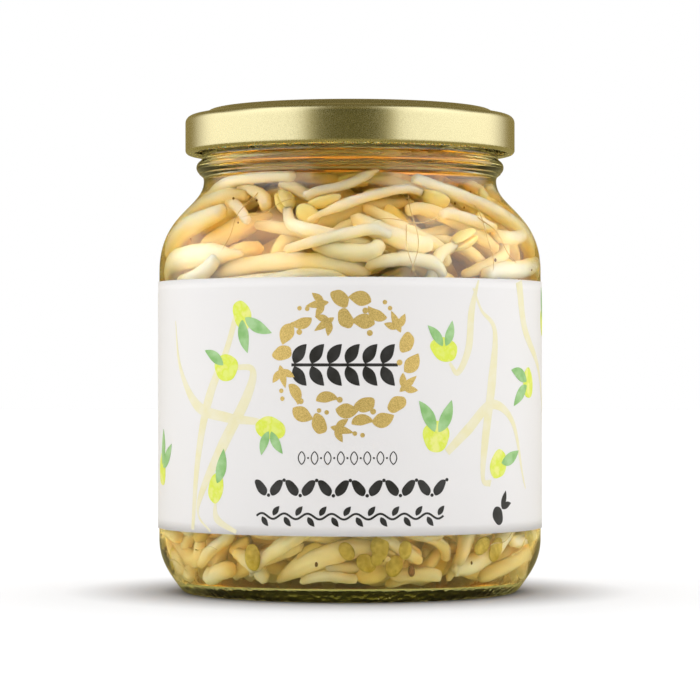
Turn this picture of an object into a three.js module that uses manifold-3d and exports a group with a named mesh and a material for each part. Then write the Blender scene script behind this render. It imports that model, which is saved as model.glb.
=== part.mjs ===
// A jar of bean sprouts: a round glass jar with a twist-off lid, a paper label, and mung bean sprouts
// packed in brine. Millimetres, +Z up, origin on the surface the jar stands on, at the jar's axis.
// The front of the label faces -Y.
import * as THREE from "three";
import { mergeVertices } from "three/addons/utils/BufferGeometryUtils.js";
import Module from "manifold-3d";

const wasm = await Module();
wasm.setup();

// ---- driving dimensions ----
const SEGMENTS = 40; // round pieces
const BODY_R = 39.8; // outside of the glass body
const WALL = 2.6; // glass thickness
const HEEL_Z = 11; // where the straight body starts
const SHOULDER_Z = 66.5; // where the straight body ends
const NECK_R = 30.55; // narrowest place, under the bead
const NECK_Z = 85.5;
const FINISH_R = 30.9; // glass inside the lid
const FINISH_TOP = 98.1; // sealing land
const MOUTH_R = 27.8; // bore of the neck
const BEAD = { z: 88.3, r: 1.5, proud: 1.55 }; // ring under the lid
const FOOT = { inner: 31.2, outer: 33.8, punt: 28, rise: 1.6 }; // bearing ring and hollow base
const FLOOR = { ring: 3.3, middle: 4.4 }; // inside of the base, near the wall and at the axis

const LUGS = 4;
const LUG = { inner: 31.5, outer: 33.9, low: 91.15, high: 92.7, half: 8 * (Math.PI / 180) };
const THREAD = { r: 31.35, section: 1.1, clear: 0.35, from: -14, to: 34 };
const OPENING = { turn: 50, rise: 1.6 }; // degrees and millimetres until the lugs are free

const LID = { r: 34.4, low: 91.0, shoulder: 99.1, top: 100.4, metal: 0.25, curl: 0.85 };
const RIDGE = { inner: 27.6, outer: 31.2 }; // raised ring on the lid's top
const PANEL_Z = 99.35;
const BUTTON = { r: 11.5, inner: 9.6, z: 98.95 }; // vacuum button, drawn down
const LINER = { inner: 28.8, outer: 32.2, low: 98.25, high: 98.75 };

const LABEL = { low: 13.4, high: 64.4, inner: 39.92, paper: 0.14, half: 171.5 * (Math.PI / 180) };
const BRINE = { r: 24, low: 5.3, shoulder: 68, topR: 13, top: 83.5, level: 90 }; // core the sprouts leave free

const DEG = Math.PI / 180;
const root = new THREE.Group();

// ---- materials ----
const material = (color, roughness, metalness = 0, more = {}) =>
  new THREE.MeshStandardMaterial({ color, roughness, metalness, ...more });
const glass = material(0xe4efe6, 0.05, 0, { transparent: true, opacity: 0.35 });
const gold = material(0xd8cf9c, 0.3, 0.9);
const plastisol = material(0xe9e3d0, 0.7);
const paper = material(0xeeecec, 0.6);
const brine = material(0xd9ac55, 0.1, 0, { transparent: true, opacity: 0.4 });
const sproutFlesh = material(0xefe6cc, 0.45);
const beanFlesh = material(0xe6d59a, 0.5);

function addMesh(name, geometry, mat) {
  const mesh = new THREE.Mesh(geometry, mat);
  mesh.name = name;
  root.add(mesh);
  return mesh;
}

// ---- solids ----
// A closed geometry, with its shared vertices merged, as a manifold solid.
function solidOf(geometry) {
  const bare = geometry.clone();
  bare.deleteAttribute("normal");
  bare.deleteAttribute("uv");
  const merged = mergeVertices(bare, 1e-3);
  return new wasm.Manifold(
    new wasm.Mesh({
      numProp: 3,
      vertProperties: merged.attributes.position.array,
      triVerts: new Uint32Array(merged.index.array),
    }),
  );
}

function geometryOf(solid) {
  const mesh = solid.getMesh();
  return new THREE.BufferGeometry()
    .setAttribute("position", new THREE.BufferAttribute(mesh.vertProperties, 3))
    .setIndex(new THREE.BufferAttribute(mesh.triVerts, 1));
}

// A profile of (radius, height) points turned about Z. LatheGeometry turns about Y, so it is stood up.
function turned(points, segments = SEGMENTS) {
  const outline = points.filter((p, i) => i === 0 || p.distanceTo(points[i - 1]) > 0.02);
  return new THREE.LatheGeometry(outline, segments).rotateX(Math.PI / 2);
}

// ---- glass jar ----
// The outline runs up the outside from the middle of the base, over the sealing land and down the inside.
const heelCurve = (inset, floor) =>
  new THREE.CubicBezierCurve(
    new THREE.Vector2(35.9 - inset, 1.4 + floor),
    new THREE.Vector2(37.4 - inset, 3.6 + floor),
    new THREE.Vector2(BODY_R - inset, 6.4 + floor * 0.8),
    new THREE.Vector2(BODY_R - inset, HEEL_Z + floor * 0.4),
  );
const shoulderCurve = (inset) =>
  new THREE.CubicBezierCurve(
    new THREE.Vector2(BODY_R - inset, SHOULDER_Z),
    new THREE.Vector2(BODY_R - inset, SHOULDER_Z + 12.4 - inset * 0.35),
    new THREE.Vector2(NECK_R - inset, NECK_Z - 5.7 - inset * 0.35),
    new THREE.Vector2(NECK_R - inset, NECK_Z),
  );

function arcPoints(x, z, radius, from, to, steps) {
  const arc = new THREE.EllipseCurve(x, z, radius, radius, from * DEG, to * DEG, to < from);
  return arc.getPoints(steps);
}

function jarOutline() {
  const at = (r, z) => new THREE.Vector2(r, z);
  return [
    at(0, FOOT.rise + 0.5),
    at(FOOT.punt * 0.6, FOOT.rise + 0.2),
    at(FOOT.punt, FOOT.rise),
    at(FOOT.inner, 0),
    at(FOOT.outer, 0),
    at(35.1, 0.45),
    ...heelCurve(0, 0).getPoints(5),
    ...shoulderCurve(0).getPoints(9),
    ...arcPoints(FINISH_R - BEAD.r + BEAD.proud - 0.35, BEAD.z, BEAD.r, -75, 75, 6),
    at(FINISH_R, BEAD.z + 2.1),
    at(FINISH_R, FINISH_TOP - 1),
    ...arcPoints(FINISH_R - 0.9, FINISH_TOP - 0.9, 0.9, 20, 90, 3),
    ...arcPoints(MOUTH_R + 0.9, FINISH_TOP - 0.9, 0.9, 90, 180, 3),
    at(MOUTH_R, NECK_Z + 1),
    ...shoulderCurve(WALL).getPoints(7).reverse(),
    ...heelCurve(WALL, FLOOR.ring - 1.4).getPoints(4).reverse(),
    at(29, FLOOR.ring),
    at(0, FLOOR.middle),
  ];
}

// One thread ridge: a round section carried along a helix that climbs as the lid's lugs do.
class ThreadPath extends THREE.Curve {
  constructor(lugAngle) {
    super();
    this.lugAngle = lugAngle;
  }

  getPoint(t, target = new THREE.Vector3()) {
    const past = THREE.MathUtils.lerp(THREE.MathUtils.degToRad(THREAD.from), THREE.MathUtils.degToRad(THREAD.to), t);
    const angle = this.lugAngle + past;
    const climb = (OPENING.rise * past) / (OPENING.turn * DEG);
    const z = LUG.high + THREAD.clear + THREAD.section + climb;
    return target.set(THREAD.r * Math.cos(angle), THREAD.r * Math.sin(angle), z);
  }
}

const lugAngle = (i) => ((i + 0.2) * 2 * Math.PI) / LUGS;

function threadRidge(i) {
  const section = new THREE.Shape().absarc(0, 0, THREAD.section, 0, 2 * Math.PI);
  return new THREE.ExtrudeGeometry(section, {
    extrudePath: new ThreadPath(lugAngle(i)),
    steps: 7,
    curveSegments: 4,
    bevelEnabled: false,
  });
}

function glassJar() {
  let jar = solidOf(turned(jarOutline()));
  for (let i = 0; i < LUGS; i += 1) jar = jar.add(solidOf(threadRidge(i)));
  return geometryOf(jar);
}

// ---- lid ----
function lidOutline() {
  const at = (r, z) => new THREE.Vector2(r, z);
  const { r, low, shoulder, top, metal, curl } = LID;
  const inside = r - metal;
  return [
    at(0, BUTTON.z - metal),
    at(BUTTON.inner, BUTTON.z - metal),
    at(BUTTON.r, PANEL_Z - metal),
    at(RIDGE.inner, PANEL_Z - metal),
    at(RIDGE.inner + 0.9, top - metal),
    at(RIDGE.outer - 1.4, top - metal),
    at(RIDGE.outer - metal, shoulder - metal),
    ...arcPoints(inside - 1.3, shoulder - metal - 1.3, 1.3, 90, 0, 3),
    at(inside, low + 2 * curl + 0.5),
    ...arcPoints(r - curl, low + curl, curl, 110, 360, 7),
    ...arcPoints(r - 1.5, shoulder - 1.5, 1.5, 0, 90, 3),
    at(RIDGE.outer, shoulder),
    at(RIDGE.outer - 1.2, top - 0.25),
    at(RIDGE.outer - 1.7, top),
    at(RIDGE.inner + 0.8, top),
    at(RIDGE.inner, PANEL_Z),
    at(BUTTON.r, PANEL_Z),
    at(BUTTON.inner, BUTTON.z),
    at(0, BUTTON.z),
  ];
}

// A block bent round the axis: the part of a ring between two radii and two angles.
function ringSector(inner, outer, from, to, height, curveSegments) {
  const shape = new THREE.Shape();
  shape.absarc(0, 0, outer, from, to, false);
  shape.absarc(0, 0, inner, to, from, true);
  return new THREE.ExtrudeGeometry(shape, { depth: height, curveSegments, bevelEnabled: false });
}

function lidCap() {
  let cap = solidOf(turned(lidOutline()));
  for (let i = 0; i < LUGS; i += 1) {
    const middle = lugAngle(i);
    const lug = ringSector(LUG.inner, LUG.outer, middle - LUG.half, middle + LUG.half, LUG.high - LUG.low, 2);
    cap = cap.add(solidOf(lug.translate(0, 0, LUG.low)));
  }
  return geometryOf(cap);
}

function lidLiner() {
  const { inner, outer, low, high } = LINER;
  const corners = [[inner, low], [outer, low], [outer, high], [inner, high], [inner, low]];
  return turned(corners.map(([r, z]) => new THREE.Vector2(r, z)));
}

// ---- label ----
function paperLabel() {
  const front = -Math.PI / 2;
  const { low, high, inner, paper: thick, half } = LABEL;
  return ringSector(inner, inner + thick, front - half, front + half, high - low, 60).translate(0, 0, low);
}

// ---- brine ----
function brineCore() {
  const { r, low, shoulder, topR, top, level } = BRINE;
  const corners = [[0, low], [r - 2, low], [r, low + 2], [r, shoulder], [topR, top], [topR, level], [0, level]];
  return turned(corners.map(([x, z]) => new THREE.Vector2(x, z)), 24);
}

// ---- sprouts ----
// Each sprout is one grown piece: a root tail, a white stem and, past a hook, two seed leaves. Its stem
// follows the inside of the glass. Sprouts are laid one by one, and each is moved inwards until it is
// clear of those before it.
const STATIONS = 9; // along the stem
const SIDES = 6;
const GLASS_GAP = 0.45;
const BETWEEN = 0.4; // least gap between two sprouts
const HOOK_SHARE = 0.2; // share of the stem's length that the hook takes
const HEAD = { long: 3.3, wide: 2.0, thick: 1.2, apart: 1.0, sunk: 0.7, bound: 2.35 };
const STEP_IN = 0.5;
const DEEPEST = 9;

// Inside radius of the glass at a height, read off the curves that the jar is made with.
const wallCurve = [
  new THREE.Vector2(31, FLOOR.ring),
  ...heelCurve(WALL, FLOOR.ring - 1.4).getPoints(24),
  ...shoulderCurve(WALL).getPoints(48),
];
function wallRadius(z) {
  if (z <= wallCurve[0].y) return wallCurve[0].x;
  for (let i = 1; i < wallCurve.length; i += 1) {
    const [a, b] = [wallCurve[i - 1], wallCurve[i]];
    if (z <= b.y) return a.x + ((b.x - a.x) * (z - a.y)) / (b.y - a.y);
  }
  return MOUTH_R;
}

// Greatest radius at which a ball of this reach, centred at this height, stays inside the glass.
function clearRadius(z, reach) {
  const around = [-70, -35, 0, 35, 70].map((deg) => deg * DEG);
  return Math.min(...around.map((a) => wallRadius(z + reach * Math.sin(a)) - reach * Math.cos(a)));
}

// Stem radius at a share u of its length: a thin root that swells into the stem, then thins to the hook.
function stemRadius(u, thick) {
  const swell = THREE.MathUtils.smoothstep(u, 0, 0.28);
  const neck = THREE.MathUtils.smoothstep(u, 0.8, 1);
  return thick * (0.3 + 0.7 * swell) * (1 - 0.3 * neck);
}

// Stations of a sprout: its azimuth from the front, its height and its clear radius, before its depth is known.
function stemLine({ az, z, tilt, length, bend, hook, thick }) {
  const step = length / (STATIONS - 1);
  const heading = [];
  for (let k = 0; k < STATIONS; k += 1) {
    const u = k / (STATIONS - 1);
    const past = Math.max(0, (u - (1 - HOOK_SHARE)) / HOOK_SHARE);
    heading.push((tilt + bend * (u - 0.5) + hook * past) * DEG);
  }
  const middle = (STATIONS - 1) / 2;
  const line = [];
  line[middle] = { az: az * DEG, z };
  for (let k = middle + 1; k < STATIONS; k += 1) {
    const turn = (heading[k - 1] + heading[k]) / 2;
    const last = line[k - 1];
    line[k] = { az: last.az + (step * Math.cos(turn)) / wallRadius(last.z), z: last.z + step * Math.sin(turn) };
  }
  for (let k = middle - 1; k >= 0; k -= 1) {
    const turn = (heading[k + 1] + heading[k]) / 2;
    const last = line[k + 1];
    line[k] = { az: last.az - (step * Math.cos(turn)) / wallRadius(last.z), z: last.z - step * Math.sin(turn) };
  }
  line.forEach((s, k) => {
    const u = k / (STATIONS - 1);
    s.r = stemRadius(u, thick);
    s.bound = THREE.MathUtils.lerp(s.r, HEAD.bound, THREE.MathUtils.smoothstep(u, 0.72, 1));
  });
  return line;
}

// A line of stations set at a depth from the glass, as points, with three balls that hold the head. The
// root end lies deeper than the head by the sprout's dive.
function placed(line, depth, dive) {
  const points = line.map((s, k) => {
    const sink = depth + dive * (1 - k / (STATIONS - 1)) ** 1.5;
    const radius = clearRadius(s.z, s.bound + GLASS_GAP) - sink;
    return { p: new THREE.Vector3(radius * Math.sin(s.az), -radius * Math.cos(s.az), s.z), r: s.r, bound: s.bound };
  });
  const [before, tip] = points.slice(-2);
  const ahead = tip.p.clone().sub(before.p).normalize();
  const head = [0.8, 2.6, 4.3].map((d) => ({ p: tip.p.clone().addScaledVector(ahead, d), bound: HEAD.bound }));
  return { points, head, ahead };
}

const coreRadius = (z) =>
  THREE.MathUtils.clamp(
    THREE.MathUtils.mapLinear(z, BRINE.shoulder, BRINE.top, BRINE.r, BRINE.topR), BRINE.topR, BRINE.r);

// True where every ball of a sprout is clear of the glass, the core, the floor and the other sprouts.
function fits({ points, head }, others) {
  const mine = [...points, ...head];
  const inside = mine.every(({ p, bound }) => {
    const r = Math.hypot(p.x, p.y);
    const clearOfGlass = r < clearRadius(p.z, bound + GLASS_GAP * 0.8);
    const clearOfCore = r - bound - BETWEEN > coreRadius(p.z);
    return clearOfGlass && clearOfCore && p.z - bound > FLOOR.ring + 0.8 && p.z + bound < BRINE.top + 1;
  });
  const clear = (a, b) => a.p.distanceTo(b.p) > a.bound + b.bound + BETWEEN;
  return inside && others.every((o) => [...o.points, ...o.head].every((b) => mine.every((a) => clear(a, b))));
}

// Lays one sprout, as near the glass as it can lie. Gives null if no depth is clear.
function laid(sprout, others) {
  const line = stemLine(sprout);
  for (let depth = 0; depth <= DEEPEST; depth += STEP_IN) {
    const spot = placed(line, depth, sprout.dive);
    if (fits(spot, others)) return { ...spot, roll: sprout.roll };
  }
  return null;
}

// Sprouts whose places show through the front of the jar, above and below the label.
const FRONT = [
  // above the label, heads first
  { az: -28, z: 80, tilt: -18, length: 26, bend: -10, hook: 110, thick: 1.4, dive: 1, roll: 60 },
  { az: -6, z: 72.5, tilt: 168, length: 26, bend: 10, hook: -60, thick: 1.3, dive: 4, roll: 80 },
  { az: 24, z: 55.5, tilt: 76, length: 38, bend: 10, hook: -85, thick: 1.3, dive: 0, roll: 90 },
  { az: 8, z: 80, tilt: 16, length: 26, bend: -20, hook: -40, thick: 1.2, dive: 0, roll: 20 },
  { az: 52, z: 74, tilt: 158, length: 42, bend: 30, hook: -120, thick: 2.4, dive: 1, roll: 80 },
  { az: -4, z: 75.6, tilt: 192, length: 40, bend: 14, hook: 55, thick: 1.8, dive: 1, roll: 85 },
  { az: 4, z: 72, tilt: 200, length: 42, bend: 34, hook: 20, thick: 2.0, dive: 0, roll: 0 },
  { az: 13, z: 68.4, tilt: 199, length: 44, bend: 12, hook: 20, thick: 2.2, dive: 0, roll: 0 },
  { az: 14, z: 63, tilt: 204, length: 40, bend: 8, hook: 20, thick: 2.2, dive: 0, roll: 40 },
  { az: -66, z: 69, tilt: 183, length: 38, bend: 10, hook: 60, thick: 2.3, dive: 0, roll: 10 },
  { az: -60, z: 73, tilt: 194, length: 32, bend: 10, hook: 40, thick: 2.0, dive: 0, roll: 30 },
  { az: -58, z: 78, tilt: 18, length: 30, bend: 0, hook: -50, thick: 1.3, dive: 0, roll: 45 },
  { az: -30, z: 63.6, tilt: 4, length: 40, bend: 10, hook: -40, thick: 1.7, dive: 0, roll: 10 },
  { az: -33, z: 77, tilt: -55, length: 24, bend: 0, hook: -30, thick: 1.1, dive: 0, roll: 10 },
  { az: 64, z: 68, tilt: -12, length: 40, bend: 30, hook: 50, thick: 1.8, dive: 0, roll: 20 },
  { az: 74, z: 74.5, tilt: -26, length: 40, bend: -20, hook: -40, thick: 1.8, dive: 0, roll: 20 },
  // below the label
  { az: 20, z: 11.5, tilt: 8, length: 26, bend: -10, hook: -95, thick: 1.7, dive: 1, roll: 70 },
  { az: -12, z: 15, tilt: 28, length: 34, bend: -20, hook: -60, thick: 1.7, dive: 0, roll: 20 },
  { az: -46, z: 13, tilt: 52, length: 36, bend: 30, hook: 50, thick: 2.1, dive: 0, roll: 30 },
  { az: 44, z: 22, tilt: 84, length: 36, bend: 50, hook: 60, thick: 1.9, dive: 0, roll: 50 },
  { az: 58, z: 22, tilt: 96, length: 38, bend: -30, hook: 50, thick: 1.9, dive: 0, roll: 50 },
  { az: -62, z: 10, tilt: 168, length: 38, bend: 20, hook: 50, thick: 1.9, dive: 0, roll: 15 },
];
const SPROUTS = 36;

// A repeatable run of numbers from 0 to 1.
let seed = 20250;
function random() {
  seed = (Math.imul(seed, 1664525) + 1013904223) >>> 0;
  return seed / 2 ** 32;
}
const between = (low, high) => low + (high - low) * random();

// The rest lie round the sides and the back, in turn above, below and behind the label.
const BANDS = [[66, 80], [7, 16], [24, 58]];
function scattered(n) {
  const [low, high] = BANDS[n % BANDS.length];
  const side = random() < 0.5 ? 0 : 180;
  return {
    az: between(60, 300),
    z: between(low, high),
    tilt: side + between(-35, 60),
    length: between(30, 46),
    bend: between(-50, 50),
    hook: between(-1, 1) < 0 ? between(-110, -50) : between(50, 110),
    thick: between(1.4, 2.0),
    dive: between(0, 3),
    roll: between(0, 90),
  };
}

function layAll() {
  const done = [];
  for (const sprout of FRONT) {
    const spot = laid(sprout, done);
    if (spot) done.push(spot);
  }
  for (let n = 0; done.length < SPROUTS && n < 600; n += 1) {
    const spot = laid(scattered(n), done);
    if (spot) done.push(spot);
  }
  return done;
}

// A tube with closed ends through stations that each have a radius.
function tube(points) {
  const curve = new THREE.CatmullRomCurve3(points.map((s) => s.p));
  const count = points.length;
  const frames = curve.computeFrenetFrames(count - 1, false);
  const spot = [];
  const index = [];
  points.forEach((s, k) => {
    for (let j = 0; j < SIDES; j += 1) {
      const turn = (j / SIDES) * 2 * Math.PI;
      const side = frames.normals[k].clone().multiplyScalar(Math.cos(turn) * s.r);
      side.addScaledVector(frames.binormals[k], Math.sin(turn) * s.r).add(s.p);
      spot.push(...side.toArray());
    }
  });
  spot.push(...points[0].p.toArray(), ...points[count - 1].p.toArray());
  const [start, end] = [count * SIDES, count * SIDES + 1];
  for (let j = 0; j < SIDES; j += 1) {
    const next = (j + 1) % SIDES;
    for (let k = 0; k < count - 1; k += 1) {
      const [a, b, c, d] = [k * SIDES + j, k * SIDES + next, (k + 1) * SIDES + j, (k + 1) * SIDES + next];
      index.push(a, b, c, b, d, c);
    }
    index.push(start, next, j, end, (count - 1) * SIDES + j, (count - 1) * SIDES + next);
  }
  return new THREE.BufferGeometry()
    .setAttribute("position", new THREE.Float32BufferAttribute(spot, 3))
    .setIndex(index);
}

// One seed leaf: a flattened ball, longest along the way the sprout points.
function seedLeaf(centre, ahead, stack) {
  const leaf = new THREE.SphereGeometry(1, 7, 5).scale(HEAD.wide, HEAD.thick, HEAD.long);
  const across = new THREE.Vector3().crossVectors(stack, ahead).normalize();
  const turn = new THREE.Matrix4().makeBasis(across, stack, ahead);
  return leaf.applyMatrix4(turn).translate(centre.x, centre.y, centre.z);
}

// The direction in which the two seed leaves lie side by side, square to the way ahead.
function stacking(tip, ahead, roll) {
  const outward = new THREE.Vector3(tip.x, tip.y, 0).normalize();
  outward.addScaledVector(ahead, -outward.dot(ahead)).normalize();
  return outward.applyAxisAngle(ahead, roll * DEG);
}

function sproutGeometry({ points, ahead, roll }) {
  const tip = points[points.length - 1].p;
  const stack = stacking(tip, ahead, roll);
  let body = solidOf(tube(points));
  for (const side of [-1, 1]) {
    const centre = tip.clone().addScaledVector(ahead, HEAD.long - HEAD.sunk).addScaledVector(stack, side * HEAD.apart);
    body = body.add(solidOf(seedLeaf(centre, ahead, stack)));
  }
  return geometryOf(body);
}

// ---- loose seed leaves on the bottom ----
const HALVES = [
  { az: -13, z: 8.8, turn: -50 },
  { az: -7, z: 6.9, turn: 80 },
  { az: 7, z: 6.9, turn: 95 },
  { az: 34, z: 7.0, turn: -80 },
  { az: 150, z: 7.4, turn: 60 },
  { az: -110, z: 7.4, turn: 130 },
];
const HALF = { long: 3.4, wide: 2.6, thick: 1.5 };

// The middle of a loose seed leaf at a depth from the glass, or null where it can't lie there.
function halfSpot({ az, z }, depth, others) {
  const radius = clearRadius(z, HALF.wide + GLASS_GAP) - depth;
  const spot = new THREE.Vector3(radius * Math.sin(az * DEG), -radius * Math.cos(az * DEG), z);
  const clear = (ball) => ball.p.distanceTo(spot) > ball.bound + HALF.long + BETWEEN;
  const free = radius - HALF.long - BETWEEN > BRINE.r && others.every((o) => [...o.points, ...o.head].every(clear));
  return free ? spot : null;
}

function looseHalf({ az, turn }, spot) {
  const leaf = new THREE.SphereGeometry(1, 10, 7).scale(HALF.thick, HALF.wide, HALF.long);
  leaf.rotateX(turn * DEG).rotateZ((az - 90) * DEG);
  return leaf.translate(spot.x, spot.y, spot.z);
}

// ---- assembly ----
addMesh("glass_jar", glassJar(), glass);
addMesh("lid_cap", lidCap(), gold);
addMesh("lid_liner", lidLiner(), plastisol);
addMesh("label", paperLabel(), paper);
addMesh("brine", brineCore(), brine);

const twoDigits = (n) => String(n).padStart(2, "0");
const sprouts = layAll();
sprouts.forEach((s, i) => addMesh(`sprout_${twoDigits(i + 1)}`, sproutGeometry(s), sproutFlesh));

const halves = [];
for (const half of HALVES) {
  const depths = Array.from({ length: DEEPEST / STEP_IN }, (_, i) => i * STEP_IN);
  const spots = depths.map((depth) => halfSpot(half, depth, [...sprouts, ...halves]));
  const spot = spots.find((s) => s);
  if (!spot) continue;
  halves.push({ points: [{ p: spot, bound: HALF.long }], head: [] });
  addMesh(`bean_half_${twoDigits(halves.length)}`, looseHalf(half, spot), beanFlesh);
}

export default root;
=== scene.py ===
"""A jar of bean sprouts: round glass jar, gold twist-off lid, paper label, and mung bean sprouts in brine.

Shapes are worked out in millimetres with +Z up and the jar's axis at the origin, and put into meshes in
metres. The front of the label faces -Y. A place round the jar is its azimuth from the front, in degrees,
growing to the right, and its height.
"""
import math

import bpy
import numpy as np
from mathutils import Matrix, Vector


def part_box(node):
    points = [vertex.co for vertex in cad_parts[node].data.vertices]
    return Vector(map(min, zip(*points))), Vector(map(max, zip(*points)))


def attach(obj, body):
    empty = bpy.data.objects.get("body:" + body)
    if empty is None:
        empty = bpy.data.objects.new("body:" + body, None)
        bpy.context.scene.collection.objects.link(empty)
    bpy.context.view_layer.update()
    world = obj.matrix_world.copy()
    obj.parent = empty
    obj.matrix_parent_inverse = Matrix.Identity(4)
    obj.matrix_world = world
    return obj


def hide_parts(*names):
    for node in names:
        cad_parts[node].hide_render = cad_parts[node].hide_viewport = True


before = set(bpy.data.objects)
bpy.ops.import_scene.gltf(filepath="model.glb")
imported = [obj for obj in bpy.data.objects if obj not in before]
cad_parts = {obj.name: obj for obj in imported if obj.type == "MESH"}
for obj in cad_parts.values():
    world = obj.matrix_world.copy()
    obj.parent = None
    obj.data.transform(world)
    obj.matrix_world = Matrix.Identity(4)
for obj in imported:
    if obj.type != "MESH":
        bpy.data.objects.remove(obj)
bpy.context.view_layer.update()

MM = 0.001


def cad_sizes(node):
    """Greatest radius, lowest height and highest height of a node of the frame, in millimetres."""
    low, high = (np.array(corner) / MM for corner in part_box(node))
    return max(abs(low[0]), high[0]), low[2], high[2]


BODY_R, _, FINISH_TOP = cad_sizes("glass_jar")
LID_R, LID_LOW, LID_TOP = cad_sizes("lid_cap")
LABEL_R, LABEL_LOW, LABEL_HIGH = cad_sizes("label")

# ---- driving dimensions of the glass ----
WALL = 2.6
HEEL_Z = 11.0
SHOULDER_Z = 66.5
NECK_R, NECK_Z = 30.55, 85.5
FINISH_R, FINISH_LOW = 30.9, 90.4
MOUTH_R = 27.8
BEAD_Z, BEAD_SECTION, BEAD_PROUD = 88.3, 1.5, 1.2
RING_INNER, RING_OUTER = 31.2, 33.8
PUNT_R, PUNT_Z = 28.0, 1.6
FLOOR_RING, FLOOR_MIDDLE = 3.3, 4.4
LUG_ANGLES = np.radians((np.arange(4) + 0.2) * 90)
LUG_TOP, LUG_REACH = 92.7, 1.15
LUG_HALF, LUG_FADE = math.radians(8), 0.02
BRINE_LEVEL = 90.0

# ---- fineness of the turned pieces ----
JAR_SEGMENTS, LID_SEGMENTS, BRINE_SEGMENTS, RING_SEGMENTS = 256, 240, 200, 160


class Run:
    """A repeatable run of numbers from 0 to 1: each is the one before times a constant, plus another."""

    def __init__(self, seed):
        self.seed = seed

    def random(self):
        """The next number, from 0 to 1."""
        self.seed = (self.seed * 1664525 + 1013904223) % 2**32
        return self.seed / 2**32

    def between(self, low, high):
        """The next number, taken to the range from low to high."""
        return low + (high - low) * self.random()

    def several(self, *ranges):
        """One number from each range, drawn in turn."""
        return tuple(self.between(*low_high) for low_high in ranges)


# ---- meshes ----
# A shape is its points and its faces, which come in blocks: each block is a whole array of faces with the
# same number of corners.
def skin(rings, start, end):
    """Closed skin over rings of points. Each ring joins the next all the way round, and the first and
    the last ring close on a point. Rings run anticlockwise seen against the way they advance."""
    rows, cols = rings.shape[:2]
    points = np.concatenate([rings.reshape(-1, 3), [start], [end]])
    row = np.arange(rows - 1)[:, None] * cols
    col = np.arange(cols)
    after = (col + 1) % cols
    quads = np.stack([row + col, row + after, row + cols + after, row + cols + col], axis=-1)
    last = (rows - 1) * cols
    low = np.stack([np.full(cols, rows * cols), after, col], axis=-1)
    high = np.stack([np.full(cols, rows * cols + 1), last + col, last + after], axis=-1)
    return points, [quads.reshape(-1, 4), low, high]


def hoop(rings):
    """Closed skin over rings of points whose last ring joins the first again, like a tyre."""
    rows, cols = rings.shape[:2]
    row = np.arange(rows)[:, None]
    col = np.arange(cols)
    after, below = (col + 1) % cols, (row + 1) % rows
    quads = np.stack([row * cols + col, row * cols + after,
                      below * cols + after, below * cols + col], axis=-1)
    return rings.reshape(-1, 3), [quads.reshape(-1, 4)]


def sheet_of(grid):
    """Open sheet over a grid of points, facing the side from which its columns run to the right and its
    rows run up."""
    rows, cols = grid.shape[:2]
    row = np.arange(rows - 1)[:, None] * cols
    col = np.arange(cols - 1)
    quads = np.stack([row + col, row + col + 1, row + cols + col + 1, row + cols + col], axis=-1)
    return grid.reshape(-1, 3), [quads.reshape(-1, 4)]


def joined(parts):
    """Several (points, faces) as one, each part's corners numbered on from the last part's."""
    sizes = [len(points) for points, _ in parts]
    before = np.cumsum([0, *sizes[:-1]])
    faces = [block + first for (_, blocks), first in zip(parts, before) for block in blocks]
    return np.concatenate([points for points, _ in parts]), faces


def face_count(faces):
    """How many faces the blocks hold in all."""
    return sum(len(block) for block in faces)


def mesh_of(name, points, faces):
    """A mesh from points in millimetres and blocks of faces."""
    corners = np.concatenate([block.ravel() for block in faces]).astype(np.int32)
    sides = np.concatenate([np.full(len(block), block.shape[1]) for block in faces])
    mesh = bpy.data.meshes.new(name)
    mesh.vertices.add(len(points))
    mesh.vertices.foreach_set("co", (points * MM).astype(np.float32).ravel())
    mesh.loops.add(len(corners))
    mesh.loops.foreach_set("vertex_index", corners)
    mesh.polygons.add(len(sides))
    mesh.polygons.foreach_set("loop_start", (np.cumsum(sides) - sides).astype(np.int32))
    mesh.update(calc_edges=True)
    return mesh


def piece(name, shape, body, materials, replaces=(), face_material=None, notes=None):
    """A finished object from (points, faces) in millimetres, riding on a body of the frame. notes are
    per-point values that its materials read."""
    points, faces = shape
    mesh = mesh_of(name, points, faces)
    mesh.polygons.foreach_set("use_smooth", np.ones(face_count(faces), dtype=bool))
    for material in materials:
        mesh.materials.append(material)
    if face_material is not None:
        mesh.polygons.foreach_set("material_index", np.asarray(face_material, dtype=np.int32))
    for key, values in (notes or {}).items():
        kind = "FLOAT_VECTOR" if values.ndim == 2 else "FLOAT"
        layer = mesh.attributes.new(key, kind, "POINT")
        layer.data.foreach_set("vector" if values.ndim == 2 else "value", values.astype(np.float32).ravel())
    mesh.update()
    made = bpy.data.objects.new(name, mesh)
    bpy.context.scene.collection.objects.link(made)
    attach(made, body)
    if replaces:
        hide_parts(*replaces)
    return made


def thickened(made, thickness):
    """Gives an open sheet a thickness, inwards from where it lies."""
    solid = made.modifiers.new("thickness", "SOLIDIFY")
    solid.thickness = thickness * MM
    solid.offset = -1
    return made


# ---- outlines ----
def bezier(start, pull_a, pull_b, end, count):
    """Points of a cubic curve from start to end, drawn towards two pulls."""
    t = np.linspace(0, 1, count)[:, None]
    corners = [np.array(p, dtype=float) for p in (start, pull_a, pull_b, end)]
    weights = [(1 - t) ** 3, 3 * t * (1 - t) ** 2, 3 * t**2 * (1 - t), t**3]
    return sum(w * c for w, c in zip(weights, corners))


def arc(r, z, radius, start, end, count):
    """Points of a circle's arc, from a start angle to an end angle in degrees."""
    a = np.radians(np.linspace(start, end, count))
    return np.stack([r + radius * np.cos(a), z + radius * np.sin(a)], axis=-1)


def outline(*runs):
    """One outline from several runs of points, with points that repeat left out."""
    points = np.concatenate([np.atleast_2d(np.array(run, dtype=float)) for run in runs])
    gap = np.linalg.norm(np.diff(points, axis=0), axis=1)
    return points[np.concatenate([[True], gap > 0.01])]


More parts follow.
